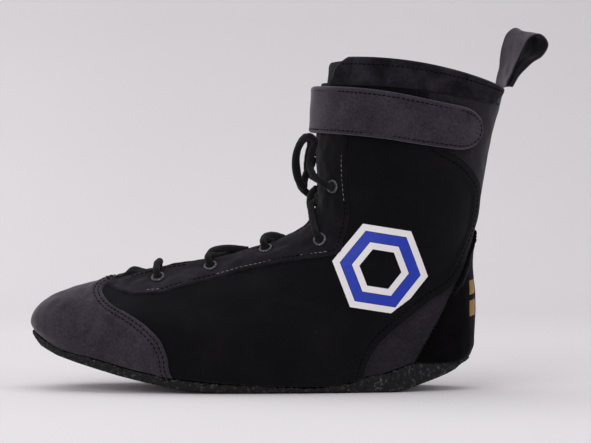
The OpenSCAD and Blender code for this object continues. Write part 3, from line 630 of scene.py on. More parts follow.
def area_light(name, at, to, size, power, color=(1, 1, 1)):
    data = bpy.data.lights.new(name, "AREA")
    data.shape, data.size, data.size_y = "RECTANGLE", size[0], size[1]
    data.energy, data.color = power, color
    lamp = bpy.data.objects.new(name, data)
    lamp.location = at
    aim = np.array(to, float) - np.array(at, float)
    lamp.rotation_euler = (math.atan2(math.hypot(aim[0], aim[1]), -aim[2]), 0, math.atan2(-aim[0], aim[1]))
    bpy.context.scene.collection.objects.link(lamp)


def stage():
    """A pale sweep: floor, a wide bend and a wall, with a faint warm-violet cast and painted shade that
    darkens it up the wall.
    """
    n, bend, back, top = 24, 0.5, 1.3, 2.2
    angle = np.linspace(0, np.pi / 2, n)
    y = np.concatenate([[-3], back - bend + bend * np.sin(angle), [back]])
    z = np.concatenate([[0], bend - bend * np.cos(angle), [top]])
    x = np.array([-3.0, 3.0])
    verts = np.stack([np.tile(x, len(y)), np.repeat(y, 2), np.repeat(z, 2)], 1) * 1000
    faces = [(2 * i, 2 * i + 1, 2 * i + 3, 2 * i + 2) for i in range(len(y) - 1)]
    sweep = make_mesh("sweep", verts, faces)
    f = Finish("sweep_paper", Roughness=0.9, Specular_IOR_Level=0.1)
    paper = f.ramp(f.noise(2.5, 2), (0.3, (0.81, 0.785, 0.80, 1)), (0.7, (0.84, 0.815, 0.83, 1)))
    # Painted shade: the paper is darkened with height up the wall.
    shade = f.ramp(f.height(), (0.02, grey(1)), (0.3, grey(0.885)))
    sweep.data.materials.append(f.done(f.mix(1.0, paper, shade, "MULTIPLY")))


def light():
    world = bpy.data.worlds.new("studio")
    world.use_nodes = True
    world.node_tree.nodes["Background"].inputs["Color"].default_value = (0.93, 0.92, 0.95, 1)
    world.node_tree.nodes["Background"].inputs["Strength"].default_value = 0.42
    bpy.context.scene.world = world
    area_light("top_box", (-0.25, 0.15, 1.4), (0, 0, 0.05), (1.6, 1.6), 8.5)
    area_light("front_box", (-0.8, -1.4, 0.9), (0, 0, 0.05), (1.4, 1.0), 11)
    area_light("toe_box", (-1.3, 0.7, 0.45), (-0.1, 0.08, 0), (0.9, 0.6), 3.5)
    area_light("heel_box", (1.3, -0.5, 0.7), (0.05, 0, 0.1), (0.7, 0.9), 3.8)
    bpy.context.scene.view_settings.view_transform = "Standard"


camera()
stage()
light()

# ---------------------------------------------------------------- the bow, as free lace
LACE_R = 2.3
BOW_OUTER = [[15.9, -25.8, 127.9], [12, -28.8, 130], [6, -25.5, 134.5], [3.5, -20.5, 141], [4.5, -20, 149],
             [6.5, -21.5, 155.5], [3, -21.5, 159], [-1.5, -18, 156], [-4.8, -14.5, 149], [-5.6, -12.5, 140.5],
             [-4, -11, 132.5], [-0.5, -8.5, 127.5], [0, -4, 131], [1.5, -3, 136], [4.5, -3, 141],
             [6.2, -3, 146.5]]
BOW_INNER = [[15.9, 25.8, 127.9], [12, 28.8, 130], [5, 24, 134], [2, 16, 138], [2.5, 12.5, 147],
             [4, 14, 155], [1, 16, 159], [-3, 12, 154], [-5, 8.5, 146], [-4.5, 6.5, 138], [-3, 8, 130],
             [-1, 13, 126], [4, 20, 122], [10, 27, 120]]
AGLET_LEN = 12

# ---------------------------------------------------------------- borders of the panels
CAP_EDGE = [[0, 70], [0.09, 67], [0.13, 62], [0.17, 52], [0.21, 34], [0.24, 21], [0.27, 15], [0.30, 10]]
THROAT = [[0.27, 14], [0.42, 18], [0.54, 22], [0.62, 20], [0.67, 16], [0.76, 13], [1.0, 11]]
BACK_EDGE = [[0, 121], [0.06, 122], [0.12, 124], [0.20, 129], [0.27, 137], [0.38, 151], [0.50, 160],
             [0.58, 165], [0.66, 169], [0.71, 168.5], [0.75, 167], [0.79, 161], [0.82, 147], [0.845, 131],
             [0.865, 113], [0.89, 104], [0.96, 100]]
COUNTER_EDGE = [[0, 138], [0.1, 142], [0.22, 146], [0.33, 150], [0.51, 160], [0.6, 168], [0.66, 175]]
FACING_EDGE = [[0.255, 34], [0.286, 44], [0.32, 46], [0.39, 49], [0.48, 55], [0.545, 64], [0.583, 76],
               [0.62, 72], [0.65, 65], [0.70, 57], [0.75, 52], [0.96, 51]]
FOOT, CAP_TOP, QUARTER_TOP, COLLAR_LOW = 0.006, 0.295, 0.962, 0.957
FACING_LOW, FACING_TOP, COUNTER_TOP = 0.262, 0.955, 0.66
LINING_OUT, LINING_IN = -1.7, -4.5
SIDES = ((-1, "outer_side"), (1, "inner_side"))


def table_line(table, low, high, side=1, shift=0.0, n=60):
    """A border table as [angle, t] points between two rings."""
    t = np.linspace(low, high, n)
    return np.stack([side * (value(table, t) + shift), t], 1)


CAP_LINE = np.concatenate([table_line(CAP_EDGE, FOOT, CAP_TOP, -1),
                           [[a, CAP_TOP] for a in np.linspace(-9, 9, 7)],
                           table_line(CAP_EDGE, FOOT, CAP_TOP, 1)[::-1]])
CAP_POINTS = place(*border(CAP_LINE, 400), 0)
BACK_LINES = {side: border(table_line(BACK_EDGE, FOOT, 0.958, side, n=160), 400) for side, _ in SIDES}
BACK_POINTS = {side: skin(*line) for side, line in BACK_LINES.items()}


def front_edge(t):
    return np.where(t < 0.27, value(CAP_EDGE, t), value(THROAT, t))


def stitches(name, lines, mat, body, pitch=3.0, length=2.2, radius=0.34, keep=None):
    """A seam's stitches, as one mesh: spindles along each line, or only those whose index passes keep."""
    parts = []
    for line in lines:
        at = resample(line, pitch)
        v, f = capsules(line, pitch, length, radius)
        if keep is not None:
            use = keep(np.arange(len(at)), len(at))
            v = v.reshape(len(at), 30, 3)[use].reshape(-1, 3)
            f = (f.reshape(len(at), -1, 4)[0][None] + 30 * np.arange(use.sum())[:, None, None]).reshape(-1, 4)
        parts.append((v, f))
    v, f = join(parts)
    piece = make_mesh(name, v, f, sharp=180)
    piece.data.materials.append(mat)
    if body:
        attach(piece, body)
    return piece


def dips(p, lines, depth=0.28, width=1.1):
    """The groove that rows of stitching pull into a panel, in mm."""
    return -depth * sum(np.exp(-(far_from(p, line) / width) ** 2) for line in lines)


# ---------------------------------------------------------------- toe cap
def cap_rise(a, t, p):
    return 1.25 * ease((12 - far_from(p, CAP_POINTS)) / 6)


CAP_ROWS = [inset(border(CAP_LINE, 500), mm, 1.25) for mm in (2.4, 5.0)]


def cap_relief(a, t, p):
    crease = 0
    for x0, z0, z1, deep in ((-132, 22, 44, 0.9), (-120, 26, 50, 0.5), (-144, 30, 52, 0.4)):
        along = ease((p[..., 2] - z0) / 6) * ease((z1 + 8 - p[..., 2]) / 10)
        crease = crease - deep * along * np.exp(-((p[..., 0] - x0 - 0.25 * (p[..., 2] - 33)) / 3.2) ** 2)
    return crease + dips(p, CAP_ROWS, 0.2, 0.9) + 0.12 * waves(p, 9, 21)


a, t = grid(FOOT, CAP_TOP, 130, lambda t: -value(CAP_EDGE, t), lambda t: value(CAP_EDGE, t), 170, 0.5)
cap = shell("toe_cap_suede", a, t, cap_rise, lambda a, t, p: cap_rise(a, t, p) - 1.2, cap_relief)
finish_piece(cap, GREY_SUEDE, "boot", "grey_suede", "toe_cap")
stitches("toe_cap_stitches", CAP_ROWS, DARK_THREAD, "boot", pitch=3.1, length=2.3)

# ---------------------------------------------------------------- quarters
CREASES = ((30, 128, 62, 46, 0.5), (44, 148, 75, 40, 0.45), (78, 96, 35, 44, 0.4), (-20, 60, 20, 50, 0.35),
           (64, 142, 80, 50, 0.3))

for side, label in SIDES:
    points = BACK_POINTS[side]
    fold = inset(BACK_LINES[side], -side * 5.2, 1.3)

    def edge_rise(a, t, p, points=points):
        return 1.35 * ease((11 - far_from(p, points)) / 5)

    def quarter_relief(a, t, p, fold=fold, side=side):
        # Soft creases run from the ankle's hollow up to the facing, and the leather puckers at the fold
        creases = 0
        for x0, z0, turn, length, deep in CREASES:
            c, s_ = math.cos(math.radians(turn)), math.sin(math.radians(turn))
            u, v = (p[..., 0] - x0) * c + (p[..., 2] - z0) * s_, (p[..., 2] - z0) * c - (p[..., 0] - x0) * s_
            creases = creases - deep * np.exp(-(u / length * 2) ** 2 - (v / 3.4) ** 2)
        return creases + dips(p, [fold], 0.35, 1.2) + 0.1 * waves(p, 11, 33)

    a, t = side_grid(side, FOOT, QUARTER_TOP, 190,
                     lambda t: front_edge(t) - 1.8 * ease((0.28 - t) / 0.02),
                     lambda t: value(BACK_EDGE, t), 120, 0.6)
    quarter = shell(f"quarter_suede_{label}", a, t, edge_rise,
                    lambda a, t, p: edge_rise(a, t, p) - 1.25, quarter_relief)
    finish_piece(quarter, BLACK_SUEDE, "boot", "black_suede", f"quarter_{label}")
    stitches(f"quarter_stitches_{label}", [fold], BLACK_THREAD, "boot", pitch=3.2)

    a, t = side_grid(side, 0.03, COLLAR_LOW, 60, lambda t: front_edge(t) + 1.2,
                     lambda t: np.minimum(value(BACK_EDGE, t) - 1, 149.6), 50, 0.6)
    lining = shell(f"lining_knit_{label}", a, t, LINING_OUT, LINING_IN)
    finish_piece(lining, KNIT_LINING, "boot", "lining_cloth", f"lining_{label}", f"ankle_pad_{label}")

# ---------------------------------------------------------------- heel: back panel, lining and counter
def back_low(t):
    return value(BACK_EDGE, t) - 2.5 * ease((0.93 - t) / 0.04) + ease((t - COLLAR_LOW) / 0.006) * 60


def heel_low(t):
    return np.maximum(value(BACK_EDGE, t) - 1, 150) + ease((t - COLLAR_LOW) / 0.006) * 10.5


a, t = grid(FOOT, 1.0, 170, back_low, lambda t: 360 - back_low(t), 110, 0.6)
back = shell("back_suede", a, t, 0.0, -1.25, lambda a, t, p: 0.12 * waves(p, 10, 44)
             - 0.35 * np.exp(-((a - 180) / 1.1) ** 2))
# Painted shade: the back panel gets the darkened copy of the grey suede.
finish_piece(back, SHADED_BACK_SUEDE, "boot", "grey_suede", "back_panel")
a, t = grid(0.03, 0.996, 70, heel_low, lambda t: 360 - heel_low(t), 40, 0.7)
heel = shell("heel_lining_knit", a, t, LINING_OUT, LINING_IN)
finish_piece(heel, KNIT_LINING, "boot", "lining_cloth", "heel_lining", "heel_stiffener")

COUNTER_LINE = np.concatenate([table_line(COUNTER_EDGE, FOOT, COUNTER_TOP, 1, n=90),
                               [[x, COUNTER_TOP] for x in np.linspace(176, 184, 5)],
                               (table_line(COUNTER_EDGE, FOOT, COUNTER_TOP, -1, n=90) + [360, 0])[::-1]])
COUNTER_BORDER = border(COUNTER_LINE, 900)
COUNTER_POINTS = skin(*COUNTER_BORDER)
BOTH_BACKS = np.concatenate([BACK_POINTS[-1], BACK_POINTS[1]])


def counter_out(a, t, p):
    return 1.55 + 1.3 * ease((6.0 - far_from(p, BOTH_BACKS)) / 4)


def counter_relief(a, t, p):
    torn = np.exp(-(far_from(p, COUNTER_POINTS) / 1.6) ** 2)
    return 0.35 * torn * waves(p, 2.2, 51) + 0.1 * waves(p, 8, 52)


def ragged(t, seed):
    """Unevenness of the counter's cut edge, in degrees."""
    rng = np.random.default_rng(seed)
    return sum(rng.uniform(0.05, 0.16) * np.sin(2 * np.pi * t * f + rng.uniform(0, 6))
               for f in (31, 57, 88, 131, 190))


a, t = grid(FOOT, COUNTER_TOP, 190, lambda t: value(COUNTER_EDGE, t) + ragged(t, 1),
            lambda t: 360 - value(COUNTER_EDGE, t) + ragged(t, 2), 120, 0.45)
counter = shell("counter_velvet", a, t, counter_out, lambda a, t, p: counter_out(a, t, p) - 1.35,
                counter_relief)
finish_piece(counter, COUNTER_VELVET, "boot", "black_velvet", "heel_counter")

# ---------------------------------------------------------------- collar: a padded band with a rolled top
for side, label in SIDES:
    def band_out(a, t, p):
        return 1.25 * ease((0.972 - t) / 0.01) + 0.5 * np.sin(np.pi * np.clip((t - 0.962) / 0.038, 0, 1)) \
            + 0.3 * ease((np.abs(a) - 157) / 3)

    a, t = side_grid(side, COLLAR_LOW, 1.0, 26,
                     lambda t: 30 + 14 * np.clip((t - 0.972) / 0.028, 0, None) ** 2,
                     lambda t: 155 + 24.4 * np.clip((t - COLLAR_LOW) / 0.037, 0, 1) ** 0.9, 170, 1.15)
    band = shell(f"collar_{label}", a, t, band_out,
                 lambda a, t, p: np.where(t < 0.966, 0.05, -4.4 + 4.4 * ease((0.972 - t) / 0.006)),
                 lambda a, t, p: 0.14 * waves(p, 12, 61 + side), both=True, sharp=60)
    finish_piece(band, COLLAR_VELVET, "boot", "black_suede", f"collar_{label}", f"collar_lining_{label}")
    line = border([[side * x, 0.989] for x in np.linspace(42, 171, 60)], 500)
    stitches(f"collar_stitches_{label}", [place(*line, band_out(line[0], line[1], 0) + 0.02)], BLACK_THREAD,
             "boot", pitch=3.0)

# ---------------------------------------------------------------- facings and eyelets
EYELETS = [[30, 0.349], [34, 0.46], [33, 0.58], [52, 0.64], [38, 0.765]]


def revolve(profile, sides=48):
    """A closed ring turned from an [r, height] profile about the third axis."""
    c = np.linspace(0, 2 * np.pi, sides, endpoint=False)
    prof = np.asarray(profile, float)
    v = np.stack([prof[:, 0, None] * np.cos(c), prof[:, 0, None] * np.sin(c),
                  np.repeat(prof[:, 1, None], sides, 1)], -1).reshape(-1, 3)
    q = np.arange(len(prof) * sides).reshape(len(prof), sides)
    nxt, up = np.roll(q, -1, axis=1), np.roll(q, -1, axis=0)
    return v, np.stack([q, nxt, np.roll(up, -1, axis=1), up], -1).reshape(-1, 4)


def stand(local, a, t, depth):
    """Points of a small fitting set on the skin at (a, t): its third axis along the normal."""
    p, n = place(a, t, depth), normal(a, t)
    x = skin(a + 1, t) - skin(a - 1, t)
    x = x - (x @ n) * n
    x /= np.linalg.norm(x)
    return p + local[:, :1] * x + local[:, 1:2] * np.cross(n, x) + local[:, 2:] * n


RIM = [[4.4, 0.0], [4.45, 0.35], [4.2, 0.75], [3.7, 1.0], [3.1, 0.95], [2.65, 0.6], [2.5, 0.1],
       [2.5, -0.2], [4.0, -0.2]]
# A flat disc inside each eyelet ring, coloured black: painted shade where the hole is.
SHADE_DISC = [[0.02, 0.18], [1.3, 0.12], [2.6, 0.1], [2.6, -0.1], [0.02, -0.1]]
for side, label in SIDES:
    rear = border(table_line(FACING_EDGE, FACING_LOW, FACING_TOP, side, n=200), 700)
    fore = border(table_line(THROAT, FACING_LOW, FACING_TOP, side, shift=0.3, n=200), 700)
    rear_row, fore_row = inset(rear, -side * 2.6, 1.45), inset(fore, side * 2.2, 1.45)
    holes = np.array([place(side * e[0], e[1], 1.2) for e in EYELETS])

    def facing_relief(a, t, p, rows=(rear_row, fore_row), holes=holes):
        d = far_from(p, holes)
        return dips(p, rows, 0.28, 1.0) - 0.5 * np.exp(-((d - 3.2) / 2.4) ** 2) + 0.16 * waves(p, 8, 71) \
            + 0.25 * waves(p, 17, 72)

    a, t = side_grid(side, FACING_LOW, FACING_TOP, 190, lambda t: value(THROAT, t) + 0.3,
                     lambda t: value(FACING_EDGE, t), 56, 0.5)
    facing = shell(f"facing_suede_{label}", a, t, 1.45, 0.15, facing_relief)
    finish_piece(facing, FACING_SUEDE, "boot", "facing_suede", f"facing_{label}")
    pick = np.random.default_rng(7).random(2000)
    pale = lambda i, n: (pick[i // 6] < 0.75) & (i < 0.9 * n)
    stitches(f"facing_stitches_{label}", [rear_row, fore_row], BLACK_THREAD, "boot",
             keep=lambda i, n: ~pale(i, n))
    stitches(f"facing_pale_stitches_{label}", [rear_row], PALE_THREAD, "boot", length=2.0,
             radius=0.2, keep=pale)
    rings, hole_shades = [], []
    for angle, t in EYELETS:
        v, f = revolve(RIM)
        rings.append((stand(v, side * angle, t, 1.35), f))
        v, f = revolve(SHADE_DISC, 24)
        hole_shades.append((stand(v, side * angle, t, 1.35), f))
    v, f = join(rings)
    ring = make_mesh(f"eyelet_rings_{label}", v, f, sharp=60)
    finish_piece(ring, EYELET, "boot", "eyelet_metal", f"eyelets_{label}")
    # The black discs in the eyelet holes: painted shade.
    v, f = join(hole_shades)
    finish_piece(make_mesh(f"eyelet_hole_shades_{label}", v, f, sharp=60), HOLE_SHADE, "boot", "facing_suede")

# ---------------------------------------------------------------- tongue
def crumple(a, t, p):
    """Loose folds of the throat cloth: strongest where it gathers behind the toe cap."""
    gather = ease((0.42 - t) / 0.1)
    folds = np.abs(waves(p * [1, 0.55, 1], 15, 81)) - 0.4
    return 0.5 * waves(p, 24, 82) + (0.3 + 2.4 * gather) * folds + 2.2 * gather


def tongue_out(a, t, p):
    lift = ease((0.46 - t) / 0.14)
    return -5.2 + 4.0 * lift * ease((16 - np.abs(a)) / 8)


def tongue_half(t):
    """Half the tongue's width in degrees; it flares at the top."""
    return 35 + 14 * ease((t - FACING_TOP) / 0.035)


a, t = grid(0.285, 0.995, 170, lambda t: -tongue_half(t), tongue_half, 60, 1.3)
tongue = shell("tongue_padded", a, t, tongue_out, lambda a, t, p: tongue_out(a, t, p) - 3.2,
               crumple, both=True, sharp=70)
tongue.data.materials.append(TONGUE_CLOTH)
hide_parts("tongue_base", "tongue")
(skin(0, 0.675) * MM).tolist()
(skin(0, 0.735) * MM).tolist()
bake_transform(tongue)

# ---------------------------------------------------------------- vamp lining, sock liner and sole
a, t = grid(0.03, 0.285, 40, lambda t: 2 - value(CAP_EDGE, t), lambda t: value(CAP_EDGE, t) - 2, 60, 0.6)
vamp = shell("vamp_lining_knit", a, t, LINING_OUT, LINING_IN)
finish_piece(vamp, KNIT_LINING, "boot", "lining_cloth", "vamp_lining", "toe_puff")

OUTLINE_A = np.linspace(0, 360, 360, endpoint=False)
SEAM = skin(OUTLINE_A, 0)


def outline(d):
    """Seam points moved inwards by d, with their inward direction."""
    q = np.roll(SEAM, -1, axis=0) - np.roll(SEAM, 1, axis=0)
    q[:, 2] = 0
    q /= np.linalg.norm(q, axis=1, keepdims=True)
    inward = np.stack([q[:, 1], -q[:, 0], 0 * q[:, 0]], 1)
    inward *= np.sign(((SEAM.mean(0) - SEAM) * inward).sum(1))[:, None]
    return SEAM + np.reshape(d, (-1, 1)) * inward, inward


def rocker(x):
    return np.interp(x, ROCKER[:, 0], ROCKER[:, 1])


def sole_layer(name, d, low, high, rings=14, lip=0.6):
    """A layer of the sole: rings from its outline to its spine, closed round the rim."""
    rim = outline(d)[0]
    x = np.clip(rim[:, 0], -128, 62)
    spine = np.stack([x, 7 * np.clip((-20 - x) / 150, 0, None) ** 2, 0 * x], 1)
    s = np.concatenate([[0, 0.02], np.linspace(0.05, 1, rings)])
    xy = rim[None] + (spine - rim)[None] * s[:, None, None]
    base = rocker(xy[..., 0])
    drop = np.where(s < 0.01, lip, np.where(s < 0.03, 0.2 * lip, 0))[:, None]
    top, bottom = xy.copy(), xy.copy()
    top[..., 2], bottom[..., 2] = base + high - drop, base + low + drop
    m, k = len(s), len(rim)
    q = np.arange(m * k).reshape(m, k)
    nxt = np.roll(q, -1, axis=1)
    up = np.stack([q[:-1], nxt[:-1], nxt[1:], q[1:]], -1).reshape(-1, 4)
    side = np.stack([q[0], q[0] + m * k, nxt[0] + m * k, nxt[0]], -1)
    verts = np.concatenate([top.reshape(-1, 3), bottom.reshape(-1, 3)])
    faces = np.concatenate([up, up[:, ::-1] + m * k, side])
    area = np.cross(verts[faces[0][1]] - verts[faces[0][0]], verts[faces[0][3]] - verts[faces[0][0]])[2]
    return make_mesh(name, verts, faces if area > 0 else faces[:, ::-1],
                     np.concatenate([xy[..., :2].reshape(-1, 2)] * 2) * MM, 50)


sock = sole_layer("sock_liner_cloth", 7.5, 5.7, 7.5)
finish_piece(sock, KNIT_LINING, "boot", "lining_cloth", "sock_liner")
tread = sole_layer("outsole_rubber", 2.4, 0.0, 3.0, rings=40)
finish_piece(tread, SOLE, "boot", "sole_rubber", "outsole")


def rough_rim():
    """The sole's cut edge: a rim swept round the seam, wandering and torn along its top."""
    base, inward = outline(0)
    low = np.minimum(rocker(base[:, 0]) + 0.7, base[:, 2] - 1.9)
    top = base[:, 2]
    n = 5
    fine = np.linspace(0, 360, 360 * n, endpoint=False)
    period = lambda v: np.interp(fine, np.append(OUTLINE_A, 360), np.append(v, v[0]))
    bx, by = period(base[:, 0]), period(base[:, 1])
    ix, iy = period(inward[:, 0]), period(inward[:, 1])
    lo, hi = period(low), period(top)
    profile = [(-1.9, 0, 0.0), (-0.2, 0, 0.05), (0.6, 0.35, 0.0), (0.8, 0.8, 0.2), (0.9, 1.0, 0.3),
               (0.7, 1.0, 0.6), (0.3, 1.0, 0.5), (0.18, 1.0, 0.0), (-0.6, 0.95, -0.6), (-1.9, 0.9, -0.4)]
    rows = []
    for k, (out, share, up) in enumerate(profile):
        z = lo + (hi - lo) * share + up
        p = np.stack([bx - out * ix, by - out * iy, z], 1)
        torn = 0.55 if 2 <= k <= 6 else 0.0
        shake = torn * waves(p, 2.4, 91) + 0.6 * torn * waves(p, 6, 92)
        shake = np.maximum(shake, -0.05 if k == 6 else -1)
        p[:, 0] -= shake * ix
        p[:, 1] -= shake * iy
        if 3 <= k <= 6:
            p[:, 2] += 0.45 * waves(p + 50, 3.0, 93)
        rows.append(p)
    v = np.concatenate(rows)
    m, k = len(rows), len(fine)
    q = np.arange(m * k).reshape(m, k)
    nxt, up = np.roll(q, -1, axis=1), np.roll(q, -1, axis=0)
    faces = np.stack([q, nxt, np.roll(up, -1, axis=1), up], -1).reshape(-1, 4)
    centre = v.reshape(m, k, 3).mean(0)
    a_, b_, c_ = v[faces[0][0]], v[faces[0][1]], v[faces[0][2]]
    outward = np.cross(b_ - a_, c_ - a_) @ ((a_ + b_ + c_) / 3 - centre[0])
    return make_mesh("sole_rough_edge", v, faces if outward > 0 else faces[:, ::-1], sharp=60)


finish_piece(rough_rim(), SOLE_EDGE, "boot", "sole_rubber", "sole_edge")
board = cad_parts["insole_board"].data.materials
board.clear()
board.append(BOARD)

# ---------------------------------------------------------------- ankle strap
STRAP_MID = [[-150, 0.898], [-125, 0.901], [-108, 0.903], [-74, 0.911], [0, 0.917], [90, 0.909]]
RING_MM = 362.5
HALF_T = 14.5 / RING_MM
STRAP_IN, STRAP_OUT = 2.8, 5.0
FLAP_END, FLAP_ROUND = 144, 21


def strap_grid(a, rows, margin=0.0):
    """Angles and t over the strap, whose end is a half round."""
    s = np.clip((-a - FLAP_END + FLAP_ROUND) / FLAP_ROUND, 0, 1)
    half = HALF_T * np.sqrt(np.maximum(0.004, 1 - s ** 2.2)) - margin / RING_MM
    share = 2 * steps(np.full(len(a), 2 * HALF_T * RING_MM), rows, 0.75) - 1
    t = value(STRAP_MID, a) + share.T * half
    return np.repeat(a[None], t.shape[0], 0), t


def strap_line(mm, low, high, end=False):
    """[angle, t] along the strap mm inside its edge, round the end if asked, else both edges."""
    h = HALF_T - mm / RING_MM
    a = np.linspace(low, high, 200)
    lines = [np.stack([a, value(STRAP_MID, a) + k * h], 1) for k in (-1, 1)]
    if not end:
        return lines
    r = FLAP_ROUND - 0.9 * mm
    w = np.linspace(-np.pi / 2, np.pi / 2, 60)
    tip = -FLAP_END + FLAP_ROUND - r * np.cos(w)
    tip = np.stack([tip, value(STRAP_MID, tip) + h * np.sin(w)], 1)
    keep = [line[line[:, 0] > -FLAP_END + FLAP_ROUND] for line in lines]
    return [np.concatenate([keep[0][::-1], tip, keep[1]])]


end_turn = np.linspace(np.pi / 2, 0, 34)
flap_a = np.concatenate([-FLAP_END + FLAP_ROUND - FLAP_ROUND * np.sin(end_turn),
                         np.linspace(-130.5, -0.03, 190)])
anchor_a = np.concatenate([[0.03, 0.6], np.linspace(1.4, 80.8, 110), [81.6, 82]])
for name, angles, a_body, b_body, near, far, nodes, tip in (
        ("strap_inner", anchor_a, "boot", "strap_front", 30, 18, ("strap_anchor", "strap_front"), False),
        ("strap_outer", flap_a, "strap_front", "strap_flap", -18, -30, ("strap_flap",), True)):
    rows = [place(*border(line, 500), STRAP_OUT) for line in (
        strap_line(2.6, -131, 0, True) if tip else strap_line(2.6, 0, 80))]
    a, t = strap_grid(angles, 26)
    piece = shell(f"{name}_suede", a, t, STRAP_OUT, STRAP_IN,
                  lambda a, t, p, rows=rows: dips(p, rows, 0.35, 1.1) + 0.16 * waves(p, 14, 101)
                  + 0.3 * waves(p, 40, 102))
    piece.data.materials.append(STRAP_SUEDE)
    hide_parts(*nodes)
    sewn = stitches(f"{name}_stitches", rows, DARK_THREAD, None, pitch=3.0)
    for one in (piece, sewn):
        ends = [(place(x, value(STRAP_MID, x), 3.9) * MM).tolist() for x in (near, far)]
        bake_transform(one)

for name, top, under, body in (("hook_patch", 2.4, 1.75, "strap_flap"), ("loop_patch", 1.3, 0.65, "boot")):
    a, t = strap_grid(np.linspace(-134, -62, 70), 12, 3)
    finish_piece(shell(f"{name}_tape", a, t, top, under), TAPE, body, "hook_tape", name)

# ---------------------------------------------------------------- pull loop
LOOP = [[-0.9, 0.6], [0.4, 6], [3, 14.7], [6, 25.5], [9, 31.5], [13.5, 34.5], [18, 32.5], [20.2, 28],
        [17.5, 22], [11.5, 17], [5.5, 9.5], [1.2, 0.7]]
LOOP_MID = np.array([[126 + x, 0, 190 + z] for x, z in smooth_line([[x, z, 0] for x, z in LOOP], 8)[:, :2]])


def webbing(name, thick_from, thick_to, wide=20.0):
    """One face of the loop: the band swept along the loop's middle, twisting as it rises."""
    p = LOOP_MID
    tan = np.gradient(p, axis=0)
    tan /= np.linalg.norm(tan, axis=1, keepdims=True)
    up = np.clip((p[:, 2] - 190) / 32, 0, 1)
    g = np.radians(-12 - 27 * up)
    side = np.stack([np.sin(g), np.cos(g), 0.2 * up], 1)
    side /= np.linalg.norm(side, axis=1, keepdims=True)
    out = np.cross(tan, side)
    out /= np.linalg.norm(out, axis=1, keepdims=True)
    w = np.linspace(-1, 1, 21) * wide / 2
    cup = 0.6 * (w / (wide / 2)) ** 2
    face = lambda d: p[:, None] + w[None, :, None] * side[:, None] + (d + cup)[None, :, None] * out[:, None]
    a_, b_ = face(thick_to), face(thick_from)
    for q in (a_, b_):
        q += (0.25 * waves(q, 9, 111))[..., None] * out[:, None]
    verts = np.concatenate([a_.reshape(-1, 3), b_.reshape(-1, 3)])
    faces = sheet_faces(*a_.shape[:2])
    c = verts[faces[0]]
    flip = np.cross(c[1] - c[0], c[3] - c[0]) @ out[0] < 0
    return make_mesh(name, verts, faces[:, ::-1] if flip else faces, sharp=50)


finish_piece(webbing("pull_loop_face", 0.05, 0.85), LOOP_WEB, "pull_loop", "loop_web", "pull_loop")
finish_piece(webbing("pull_loop_back", -0.85, 0.0), LOOP_LINING, "pull_loop", "loop_web")
a, t = grid(0.945, 0.992, 8, lambda t: 171 + 0 * t, lambda t: 189 + 0 * t, 8, 0.3)
finish_piece(shell("pull_loop_foot", a, t, -1.3, -1.65), LOOP_LINING, "boot", "loop_web", "pull_loop_anchor")

# ---------------------------------------------------------------- laces
def braid(path):
    return tube(path, LACE_R * 0.97, 18, 0.035, 4.2)


LACE_REST = 1.45 + LACE_R
LOW_RUN = [[0, 0.4], [0.26, 0.1], [0.5, -4.4], [0.72, -5.6], [1, -7.0]]
HIGH_RUN = [[0, 0.4], [0.26, 0.4], [0.5, -0.3], [0.72, -1.6], [1, -5.8]]


def lace_run(side, start, stop, heights):
    """From an eyelet over the ridge to the far facing's edge, at heights over the facing by share."""
    s = np.linspace(0, 1, 60)
    wide = value(THROAT, stop[1])
    far_a = 7 - wide
    leaves = (start[0] - wide) / (start[0] - far_a)
    share = np.where(s < leaves, 0.26 * s / leaves, 0.26 + 0.74 * (s - leaves) / (1 - leaves))
    lift = LACE_REST + value(heights, share) - 3.4 * ease((0.1 - s) / 0.1)
    p = place(side * (start[0] + (far_a - start[0]) * s), start[1] + (stop[1] - start[1]) * s, lift)
    return smooth_line(p[::4], 6)


bar_a = np.linspace(-30, 30, 60)
bar_t = 0.349 + 0.05 * np.cos(np.linspace(-np.pi / 2, np.pi / 2, 60))
bar_rise = LACE_REST - 0.6 - 2.3 * ease((np.abs(bar_a) - 25) / 5) - 1.8 * ease((16 - np.abs(bar_a)) / 10)
runs = [place(bar_a, bar_t, bar_rise)]
for i in (1, 2, 3):
    runs.append(lace_run(-1, EYELETS[i], EYELETS[i + 1], LOW_RUN))
    runs.append(lace_run(1, EYELETS[i], EYELETS[i + 1], HIGH_RUN))
lacing = make_mesh("lacing_braid", *join_tubes([braid(path) for path in runs]), sharp=70)
finish_piece(lacing, LACE, "boot", "lace", "lacing")

for points, node, label in ((BOW_OUTER, "lace_bow_outer", "outer"), (BOW_INNER, "lace_bow_inner", "inner")):
    path = smooth_line(points, 10)
    piece = finish_piece(make_mesh(f"bow_{label}", *braid(path), sharp=70), LACE, "boot", "lace", node)
    last = path[-1]
    u = last - np.array(points[-2], float)
    u /= np.linalg.norm(u)
    c = np.linspace(0, 2 * np.pi, 24, endpoint=False)
    spot = np.cross(u, [0, 0, 1.0])
    spot /= np.linalg.norm(spot)
    other = np.cross(u, spot)
    rings = [(0.2, 1.2), (0.25, 1.75), (0.6, 1.9), (AGLET_LEN - 0.6, 1.65), (AGLET_LEN, 1.2)]
    spoke = np.cos(c)[:, None] * spot + np.sin(c)[:, None] * other
    v = np.concatenate([last + h * u + r * spoke for h, r in rings])
    q = np.arange(len(v)).reshape(len(rings), 24)
    nx = np.roll(q, -1, axis=1)
    quads = np.stack([q[:-1], nx[:-1], nx[1:], q[1:]], -1).reshape(-1, 4).tolist()
    caps = [tuple(q[0][::-1].tolist()), tuple(q[-1].tolist())]
    tip = make_mesh(f"aglet_{label}", v, [tuple(f) for f in quads] + caps, sharp=40)
    finish_piece(tip, AGLET, "boot", "aglet_plastic", *(("aglets",) if label == "outer" else ()))

# ---------------------------------------------------------------- prints
BADGE_MID, BADGE_TURN, BADGE_RISE = (47, 77), 21, 0.34


